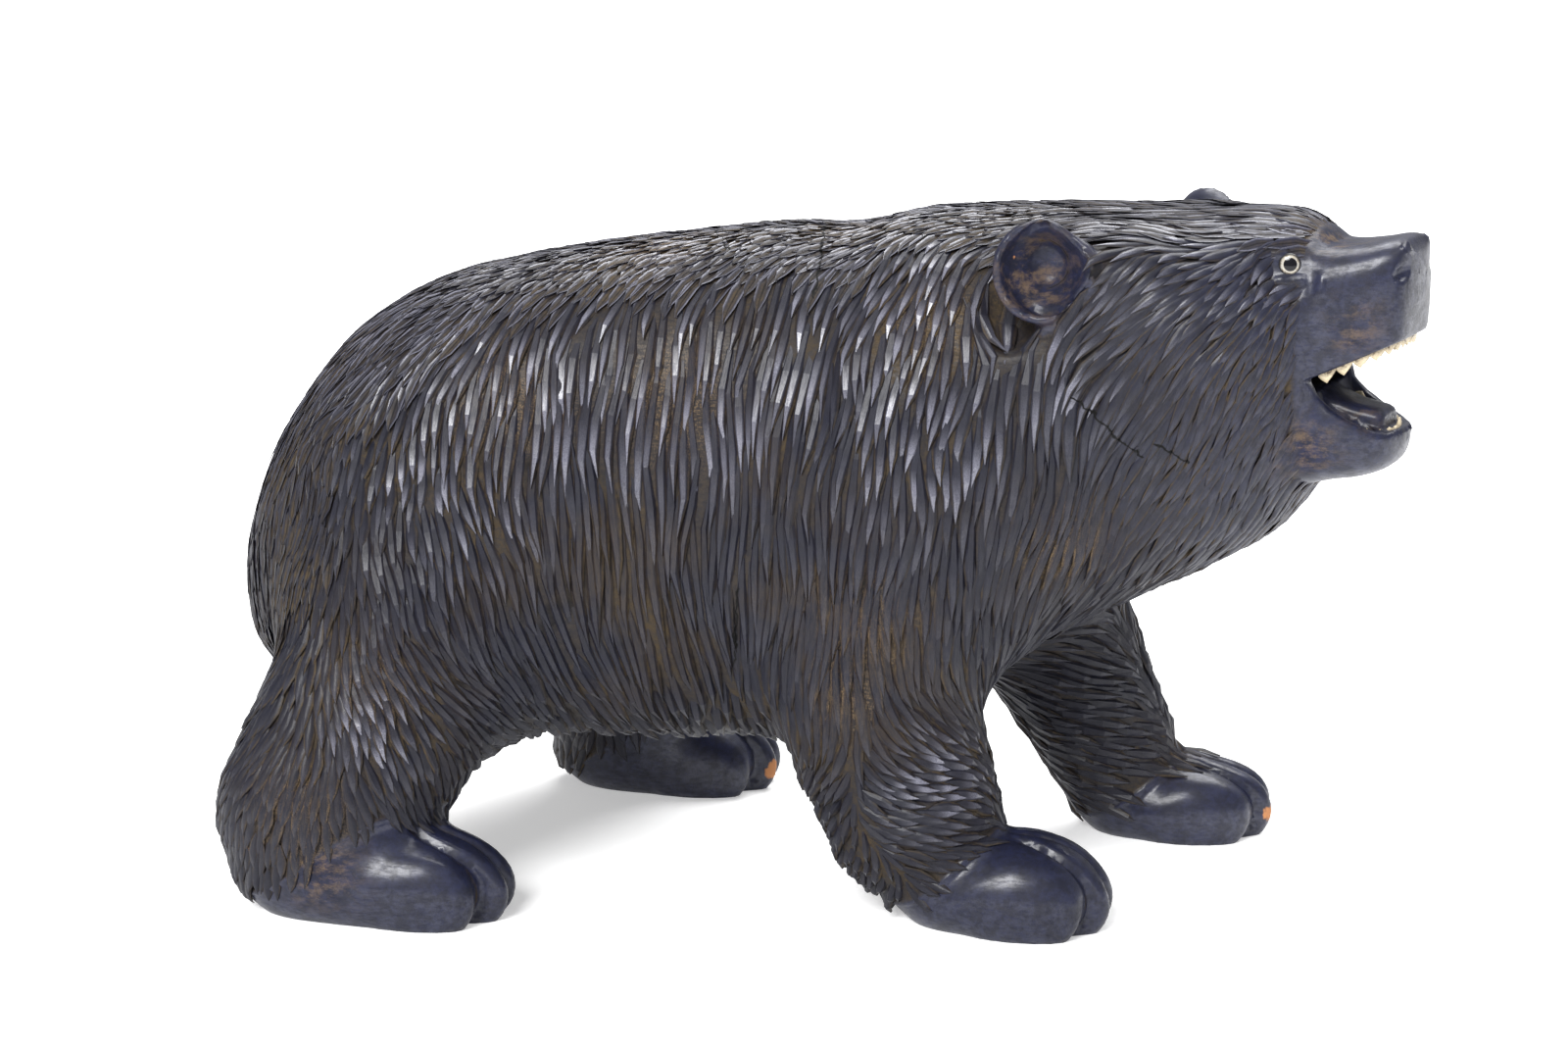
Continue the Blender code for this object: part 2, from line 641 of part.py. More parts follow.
def hollow_cutter(collection):
    """The open gape, the hollow behind the lips and the hollows of the ears."""
    bm = bmesh.new()
    places = [x for x, _ in LOWER_LIP] + [240.0]
    across = 40.0
    upper, lower = lips(np.array(places))
    for a, b in zip(range(len(places)), range(1, len(places))):
        corners = [(places[k], side * across, heights[k])
                   for k in (a, b) for side in (RIGHT, LEFT) for heights in (upper + 0.1, lower - 0.1)]
        bmesh.ops.convex_hull(bm, input=[bm.verts.new(corner) for corner in corners])
    middle = (THROAT + MOUTH_FRONT) / 2.0
    add_blob(bm, (middle, 0, 204), (19, 15, 13))
    add_blob(bm, (middle + 11, 0, 211), (12, 13, 13))
    for side, ear in EARS.items():
        axes = ear_frame(side)
        inner = EAR_RADIUS - EAR_WALL
        centre = np.array(ear) + axes[:, 0] * 2.0
        radii = (EAR_DEPTH - EAR_WALL + 2.0, inner - 1.0, inner)
        add_blob(bm, centre, radii, Matrix(axes.tolist()).to_4x4())
    turn(list(bm.verts), on_head)
    cutter = new_object("hollows", bm, collection)
    remesh(cutter, 1.6)
    return cutter


def add_ears(bm):
    for side, ear in EARS.items():
        axes = ear_frame(side)
        half_egg(bm, ear, (EAR_DEPTH, EAR_RADIUS - 1.0, EAR_RADIUS), axes, 1.5)
        for bar in ear_bars(ear):
            add_bar(bm, *bar)
        add_blob(bm, *temple(side))


def add_tongue(bm):
    add_loft(bm, TONGUE, TONGUE_POWER)


def cut_away(block, cutter):
    drill(block, cutter)
    baked(block)
    bpy.data.objects.remove(cutter)


def build_on(block, add_shapes, voxel):
    """Adds shapes of the straight head to the block and makes one skin of it all."""
    bm = bmesh.new()
    add_shapes(bm)
    turn(list(bm.verts), on_head)
    bmesh.ops.scale(bm, vec=(UNIT,) * 3, verts=bm.verts)
    bmesh.ops.recalc_face_normals(bm, faces=bm.faces)
    bm.from_mesh(block.data)
    bm.to_mesh(block.data)
    bm.free()
    remesh(block, voxel)


def read_points(mesh):
    flat = np.empty(len(mesh.vertices) * 3)
    mesh.vertices.foreach_get("co", flat)
    return flat.reshape(-1, 3) / UNIT


def write_points(mesh, points):
    mesh.vertices.foreach_set("co", (points * UNIT).ravel())
    mesh.update()


def carved_skin(collection):
    """The block cut open, drawn onto the form and carved with locks of fur."""
    block = rough_block(collection)
    cut_away(block, recess_cutter(collection))
    build_on(block, add_ears, BLOCK_VOXEL)
    cut_away(block, hollow_cutter(collection))
    build_on(block, add_tongue, SKIN_VOXEL)
    mesh = block.data
    points, normals = draw_to_form(read_points(mesh), rounds=3)
    write_points(mesh, points)
    smooth = block.modifiers.new("Even out", "SMOOTH")
    smooth.factor = 0.5
    smooth.iterations = 4
    mesh = baked(block)
    points, normals = draw_to_form(read_points(mesh), rounds=3)
    depth = locks(points, normals, LOCK_WIDTH, LOCK_LENGTH, LOCK_SEED) * furred(points)
    points -= normals * (depth * LOCK_DEPTH)[:, None]
    write_points(mesh, points)
    return block


def wood_and_inlay_materials():
    looks = {
        "stained_wood": ((0.030, 0.026, 0.030), 0.42),
        "eye_glass": ((0.60, 0.57, 0.50), 0.12),
        "tooth_inlay": ((0.78, 0.70, 0.52), 0.40),
    }
    made = {}
    for name, (colour, roughness) in looks.items():
        material = bpy.data.materials.new(name)
        material.use_nodes = True
        shader = material.node_tree.nodes["Principled BSDF"]
        shader.inputs["Base Color"].default_value = (*colour, 1.0)
        shader.inputs["Roughness"].default_value = roughness
        shader.inputs["Metallic"].default_value = 0.0
        made[name] = material
    return made


def head_matrix():
    """From the straight head to where the turned head is, in metres."""
    pivot = Matrix.Translation(Vector((NAPE * UNIT, 0.0, 0.0)))
    return pivot @ Matrix.Rotation(-HEAD_TURN, 4, "Z") @ pivot.inverted()


def eye_matrix(side):
    """The place of an eye, where its level meets the skin, with Z looking out."""
    across = np.linspace(12.0, 44.0, 321)
    level = np.column_stack([np.full(321, EYE_PLACE[0]), side * across, np.full(321, EYE_PLACE[1])])
    inside = bear_form(on_head(level, -1.0)) < 0
    skin = level[np.flatnonzero(inside)[-1]]
    out = Vector((EYE_FACING[0], side * EYE_FACING[1], EYE_FACING[2]))
    place = Matrix.Translation(Vector(skin * UNIT)) @ out.to_track_quat("Z", "Y").to_matrix().to_4x4()
    return head_matrix() @ place


def turned_piece(name, profile, collection, material=None):
    """A profile of radius and height spun about Z."""
    mesh = bpy.data.meshes.new(name)
    mesh.from_pydata([(r, 0.0, z) for r, z in profile], [(i, i + 1) for i in range(len(profile) - 1)], [])
    obj = bpy.data.objects.new(name, mesh)
    collection.objects.link(obj)
    screw = obj.modifiers.new("Spin", "SCREW")
    screw.axis = "Z"
    screw.steps = screw.render_steps = 22
    screw.use_merge_vertices = True
    screw.merge_threshold = 0.00001
    if material:
        mesh.materials.append(material)
    return obj


def eye_profile(grow=0.0, open_to=None):
    """A glass dome on a short stem, from the top of the dome down, or the socket for it."""
    radius, stem = EYE_DIAMETER / 2.0 + grow, EYE_DIAMETER * 0.28 + grow
    under = EYE_SEAT + grow
    if open_to:
        top = [(0.0, open_to), (radius, open_to), (radius, 0.0)]
    else:
        steps = 5
        top = [(radius * math.sin(a), EYE_PROUD * math.cos(a))
               for a in (math.pi / 2.0 * k / steps for k in range(steps + 1))]
        top[0] = (0.0, EYE_PROUD)
    return top + [(radius, -under), (stem, -under), (stem, -under - EYE_STEM), (0.0, -under - EYE_STEM)]


def fair_arch(arch):
    """A smooth line along a strip from its right end round the front, and the length run at each place."""
    half = np.array(arch, float)
    whole = np.vstack([half * (1, RIGHT, 1), half[-2::-1]])
    padded = np.vstack([2 * whole[0] - whole[1], whole, 2 * whole[-1] - whole[-2]])
    fine = np.linspace(0, len(whole) - 1, 400)
    k = np.minimum(fine.astype(int), len(whole) - 2)
    curve = through(padded[k], padded[k + 1], padded[k + 2], padded[k + 3], (fine - k)[:, None])
    run = np.concatenate([[0.0], np.cumsum(np.linalg.norm(np.diff(curve[:, :2], axis=0), axis=1))])
    return curve, run


def strip(name, arch, down, collection, material=None, grow=0.0):
    """A tooth strip bent along the jaw, its teeth pointing down or up, or the groove for it."""
    curve, run = fair_arch(arch)
    extra = grow / UNIT
    teeth = max(round(run[-1] * UNIT / TOOTH_PITCH), 3)
    away = -1.0 if down else 1.0
    bm = bmesh.new()
    bmesh.ops.create_grid(bm, x_segments=2 * teeth, y_segments=2, size=1.0)
    for v in bm.verts:
        column, row = (v.co.x + 1.0) / 2.0, round(v.co.y) + 1
        at = column * (run[-1] + 2.0 * extra) - extra
        x, y, over = (np.interp(at, run, curve[:, i]) for i in range(3))
        if at < 0 or at > run[-1]:
            end, inner = (0, 3) if at < 0 else (-1, -4)
            step = unit(curve[end] - curve[inner]) * extra
            x, y = x + step[0], y + step[1]
        upper, lower = lips(x)
        gum = upper - over if down else lower + over
        bite = TOOTH_LENGTH * (0.55 + 0.45 * abs(2.0 * column - 1.0))
        edge = bite if round(column * 2 * teeth) % 2 else TOOTH_LENGTH * 0.22
        heights = (-(STRIP_ROOT + grow), 0.0, TOOTH_LENGTH * 2.0 if grow else edge)
        v.co = (x, y, gum + away * heights[row] / UNIT)
    obj = new_object(name, bm, collection, material)
    shell = obj.modifiers.new("Thickness", "SOLIDIFY")
    shell.thickness = STRIP_THICKNESS + 2.0 * grow
    shell.offset = 0.0
    return obj


def ground_cutter(collection):
    bm = bmesh.new()
    bmesh.ops.create_cube(bm, size=1.0)
    slab = Matrix.Translation((0, 0, -30)) @ Matrix.Diagonal((700, 400, 60, 1))
    bmesh.ops.transform(bm, matrix=slab, verts=bm.verts)
    return new_object("ground", bm, collection)


def main():
    for obj in list(bpy.data.objects):
        bpy.data.objects.remove(obj)
    parts = new_collection("carved_wooden_bear")
    guides = new_collection("guides")
    materials = wood_and_inlay_materials()

    bear = carved_skin(guides)
    bear.name = "bear"
    bear.data.materials.clear()
    bear.data.materials.append(materials["stained_wood"])
    guides.objects.unlink(bear)
    parts.objects.link(bear)
    bear.data.calc_loop_triangles()
    facets = bear.modifiers.new("Facets", "DECIMATE")
    facets.ratio = WOOD_TRIANGLES / len(bear.data.loop_triangles)
    drill(bear, ground_cutter(guides))

    head = head_matrix()
    for name, arch, down in (("upper_teeth", UPPER_ARCH, True), ("lower_teeth", LOWER_ARCH, False)):
        teeth = strip(name, arch, down, parts, materials["tooth_inlay"])
        groove = strip(name + "_groove", arch, down, guides, grow=CLEARANCE)
        teeth.matrix_world = groove.matrix_world = head
        drill(bear, groove)
    for name, side in (("right_eye", RIGHT), ("left_eye", LEFT)):
        eye = turned_piece(name, eye_profile(), parts, materials["eye_glass"])
        socket = turned_piece(name + "_socket", eye_profile(CLEARANCE, EYE_PROUD * 3.0), guides)
        eye.matrix_world = socket.matrix_world = eye_matrix(side)
        drill(bear, socket)

    bpy.context.view_layer.update()
    mesh = bear.evaluated_get(bpy.context.evaluated_depsgraph_get()).data
    places = np.array([v.co[:] for v in mesh.vertices])
    middle = (places.min(0) + places.max(0)) / 2.0
    stand = bpy.data.objects.new("stand", None)
    parts.objects.link(stand)
    stand.location = (-middle[0], -middle[1], 0.0)
    for obj in list(parts.objects) + list(guides.objects):
        if obj is not stand:
            obj.parent = stand


if __name__ == "__main__":
    main()
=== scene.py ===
"""A carved wooden bear dressed for a render: the wood with its cut fur, two glass eyes and two tooth strips.

Sizes given to the user are in metres. The figure is written in units of 1/455 of the body length, from the
ground under the middle of its feet, and STAND moves it to the middle of its box.
"""

import math

import bmesh
import bpy
import numpy as np
from mathutils import Euler, Matrix, Vector


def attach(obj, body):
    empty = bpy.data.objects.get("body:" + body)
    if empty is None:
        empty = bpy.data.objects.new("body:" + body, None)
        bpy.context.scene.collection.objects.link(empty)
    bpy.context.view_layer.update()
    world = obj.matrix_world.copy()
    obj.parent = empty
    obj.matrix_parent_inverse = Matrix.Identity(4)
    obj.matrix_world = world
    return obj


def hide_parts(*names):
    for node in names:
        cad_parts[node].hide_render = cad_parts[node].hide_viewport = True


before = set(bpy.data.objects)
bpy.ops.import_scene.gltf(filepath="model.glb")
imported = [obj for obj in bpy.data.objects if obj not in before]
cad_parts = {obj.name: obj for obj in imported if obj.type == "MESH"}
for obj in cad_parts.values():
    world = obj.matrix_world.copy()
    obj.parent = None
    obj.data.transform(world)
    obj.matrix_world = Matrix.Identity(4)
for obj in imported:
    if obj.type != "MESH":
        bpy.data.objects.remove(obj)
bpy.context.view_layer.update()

bl_info = {
    "name": "Carved Wooden Bear",
    "version": (1, 0, 0),
    "blender": (4, 5, 0),
    "location": "View3D > Sidebar > Carving",
    "description": "Carves the fur of a wooden bear and sets its eyes and teeth",
    "category": "Object",
}

BODY_LENGTH = 0.455  # rump to nose, measured along the body before the head is turned
HEAD_TURN = math.radians(18.0)  # towards the bear's right
STAND = (-0.00081, -0.00103, 0.0)
EYE_DIAMETER = 0.0080
EYE_PROUD = 0.0017
EYE_SEAT = 0.0008
EYE_STEM = 0.0040
EYE_STEM_SHARE = 0.56  # how thick the stem is, as a share of the eye
TOOTH_LENGTH = 0.0042
STRIP_THICKNESS = 0.0016
STRIP_ROOT = 0.0034

STAND_MOVE = Matrix.Translation(STAND)

CAMERA_PLACE = (0.1815, -1.1610, 0.4050)
CAMERA_TURN = (math.radians(77.0), 0.0, math.radians(9.6))
LENS = (72.0, 36.0)  # focal length and width of the film, in millimetres
FLOOR_HALF = 12.0  # half the side of the square floor
LIGHTS = [
    # name, the side it comes from, how wide it is in degrees, and its share of the key light's strength
    ("soft_key", (-0.30, -1.0, 0.86), 28.0, 1.0),
    ("soft_top", (0.10, 0.60, 1.25), 50.0, 1.20),
]

# How fine the roughed-out block, the skin that is drawn out of it, and the shape of its hollows are, in units
BLOCK_VOXEL = 2.6
SKIN_VOXEL = 2.0
CUTTER_VOXEL = 1.6

UNIT = BODY_LENGTH / 455.0
NAPE = 95.0  # where along the body the head turns
NECK_BEND = (NAPE - 55.0, NAPE + 45.0)  # where the turn starts and ends along the neck
RIGHT, LEFT = -1, 1

# The trunk, neck and skull as sections along X: where, top, bottom, half width
TRUNK = [
    (-224, 107, 103, 2), (-222, 129, 88, 24), (-216, 148, 77, 38), (-205, 172.5, 70, 51),
    (-184, 202, 65, 62), (-164, 218, 60, 68), (-145, 227.5, 57, 71), (-124, 233.5, 56, 73),
    (-90, 240.5, 54, 74), (-51, 246, 53, 74), (-13, 250.5, 54, 73), (14, 251, 58, 74),
    (38, 256.5, 68, 76), (60, 258.5, 78, 78), (84, 259.5, 91, 79), (106, 260.5, 104, 77),
    (122, 261, 113, 72), (140, 261.5, 122, 67), (158, 262.6, 132, 59), (174, 263.4, 142, 48),
    (186, 261.8, 155, 37), (193, 257.5, 168, 29), (198, 248, 190, 18), (200, 226, 213, 3),
]
TRUNK_POWER = 2.5

# The upper jaw with the nose, the lower jaw, and the tongue
MUZZLE = [
    (170, 249, 186, 24), (190, 252.5, 192, 27.5), (203, 253, 198, 26), (213, 254.5, 203, 24),
    (220, 256, 207, 21.5), (224.5, 255.5, 212, 19), (226.7, 251.5, 221, 15), (227.6, 246, 233, 6),
]
MUZZLE_POWER = 4.0
JAW = [
    (168, 206, 152, 22), (188, 206, 163, 26), (200, 206, 167, 25), (210, 205, 169, 22.5),
    (218, 202, 172, 18.5), (222.5, 198, 176, 13), (224.4, 190, 181, 5),
]
JAW_POWER = 2.8
TONGUE = [
    (180, 204, 190, 9), (196, 199.5, 188, 11.5), (207, 195.8, 184, 11), (216, 194.2, 182, 10),
    (218.3, 192.5, 184, 8.8),
]
TONGUE_POWER = 4.0

# Legs: the mass in the body, both ends of the limb with their radii, how softly it folds into the belly,
# and the foot from its heel forwards with the height of its instep as a share of the tallest
LEGS = {
    "right_hind": dict(mass=((-136, -38, 124), (64, 42, 72)), upper=((-147, -60, 94), 45), fold=18.0,
                       ankle=((-175.5, -84, 36), 40), slim=0.72, heel=(-209, -87), length=108, heading=1,
                       rise=0.93),
    "left_hind": dict(mass=((-118, 38, 124), (64, 42, 72)), upper=((-118, 60, 94), 45), fold=18.0,
                      ankle=((-92, 84, 36), 37), slim=0.72, heel=(-128, 86), length=98, heading=2,
                      rise=0.96),
    "right_front": dict(mass=((32, -44, 146), (56, 40, 76)), upper=((26, -50, 90), 38), fold=13.0,
                        ankle=((45, -57, 39), 33), slim=0.84, heel=(34, -58), length=86, heading=-2,
                        rise=0.93),
    "left_front": dict(mass=((60, 42, 144), (50, 38, 74)), upper=((82, 50, 92), 34), fold=13.0,
                       ankle=((109, 57, 36), 27), slim=0.88, heel=(93, 58), length=83, heading=4,
                       rise=0.72),
}
FOOT_HALF_WIDTH = 25
TOES = 4
TOE_HEIGHT = 28
TOE_LENGTH = 21.0  # half the length of a toe's lobe
TOE_ROUND = 23.0  # how much further back the outer toes stand
TOE_BLEND = 1.2
HEM_HEIGHT, HEM_RISE = 7.0, 36.0  # how high the fur ends over a foot, at the heel and added up to the instep

EARS = {RIGHT: (111.5, -68, 244.5), LEFT: (126, 68, 242.5)}
EAR_FACING = (0.32, 0.93, 0.12)
EAR_RADIUS = 18.8
EAR_WALL = 2.8
EAR_DEPTH = 13.0
EAR_PINCH = 0.42  # how much the ear narrows towards its front
EAR_RIM = 1.5  # where its bowl is cut flat, outwards from its middle

# The ear's bowl and its hollow as egg shapes: how far outwards their middle lies, and the radii outwards,
# forwards and up
EAR_BOWL = (0.0, (EAR_DEPTH, EAR_RADIUS - 1.0, EAR_RADIUS))
EAR_HOLLOW = (2.0, (EAR_DEPTH - EAR_WALL + 2.0, EAR_RADIUS - EAR_WALL - 1.0, EAR_RADIUS - EAR_WALL))

# The mouth: the corner of the lips, the slope of the upper lip, and the lower lip from the corner forwards
MOUTH_CORNER = (195.5, 206.0)
GAPE = math.radians(26.0)
LOWER_LIP = [(195.5, 205), (198, 200), (203, 195.5), (209, 191.8), (216.5, 188.3), (221, 186.8), (226, 188)]
LIP_THICKNESS = 7.0
PALATE = 7.0  # how far the mouth is hollowed above the upper lip and below the lower one
MOUTH_FLOOR = 5.0
THROAT = 184.0
MOUTH_FRONT = 217.5
BEFORE_NOSE, BESIDE_JAWS = 240.0, 40.0  # how far the cut between the lips runs forwards and to either side

EYE_PLACE = (187.5, 246.5)
EYE_FACING = (0.30, 0.93, 0.12)
EYE_BED = ((EYE_PLACE[0] + 3, 34, EYE_PLACE[1] + 1), (12, 8, 11))  # the dent that the eye lies in: middle, radii
BARE_ROUND_EYE = (5, 9)  # how far from the eye the fur starts, and where it covers the wood

# The small forms of the face, for its left side: the two lids with how far over the eye they lie, their length
# and tilt, the upright ridge between the eye and the muzzle, the swelling at the top of the nose, and the nostril
LIDS = [(5.6, 7.8, 0.25), (-5.8, 7.2, 0.18)]
RIDGE = ((199.5, 27.4, 247.0), 1.7, (199.0, 28.4, 236.5), 1.2)
RIDGE_MIDDLE = (199, 27.8, 242)
NOSE_PAD = ((227.6, 15.5, 255.5), (3.0, 6.5, 4.2))
NOSTRIL = ((229.0, 17.5, 247.0), (7.0, 6.0, 3.2), math.radians(35.0))

# Where each tooth strip runs from its near end to the front: forwards, half the width, height over the lip
UPPER_ARCH = [(198.5, 22.3, 0), (208, 21.6, 0), (216, 19.4, 0), (221, 15.4, 0), (223.3, 9, 0), (224, 0, 0)]
LOWER_ARCH = [(200, 15.6, -3.6), (209, 14.9, -3.6), (216, 11.8, -2.4), (219.7, 7.0, -0.6), (221.2, 0, 0)]

# Across a tooth strip: how far to one side, its share of the tooth's height and of the root, and how stained it is
STRIP_SECTION = [(-1.0, 0.0, -1.0, 1.0), (-1.0, 0.0, 0.0, 1.0), (-0.9, 0.5, 0.0, 0.35), (-0.3, 1.0, 0.0, 0.0),
                 (0.3, 1.0, 0.0, 0.0), (0.95, 0.5, 0.0, 0.35), (1.0, 0.0, 0.0, 1.0), (1.0, 0.0, -1.0, 1.0)]
TOOTH_SHRINK = 0.42  # how much narrower the front teeth are than those at the corners of the mouth
TOOTH_STEPS = 8

# The curl cut round a nostril: two ends and a radius for each stroke
NOSTRIL_CUTS = [((229.5, 19.0, 250.5), (230.0, 22.5, 245.5), 1.3), ((230.0, 22.5, 245.5), (231.0, 17.0, 243.5), 1.5),
                ((231.0, 17.0, 243.5), (230.5, 12.0, 247.0), 1.3)]

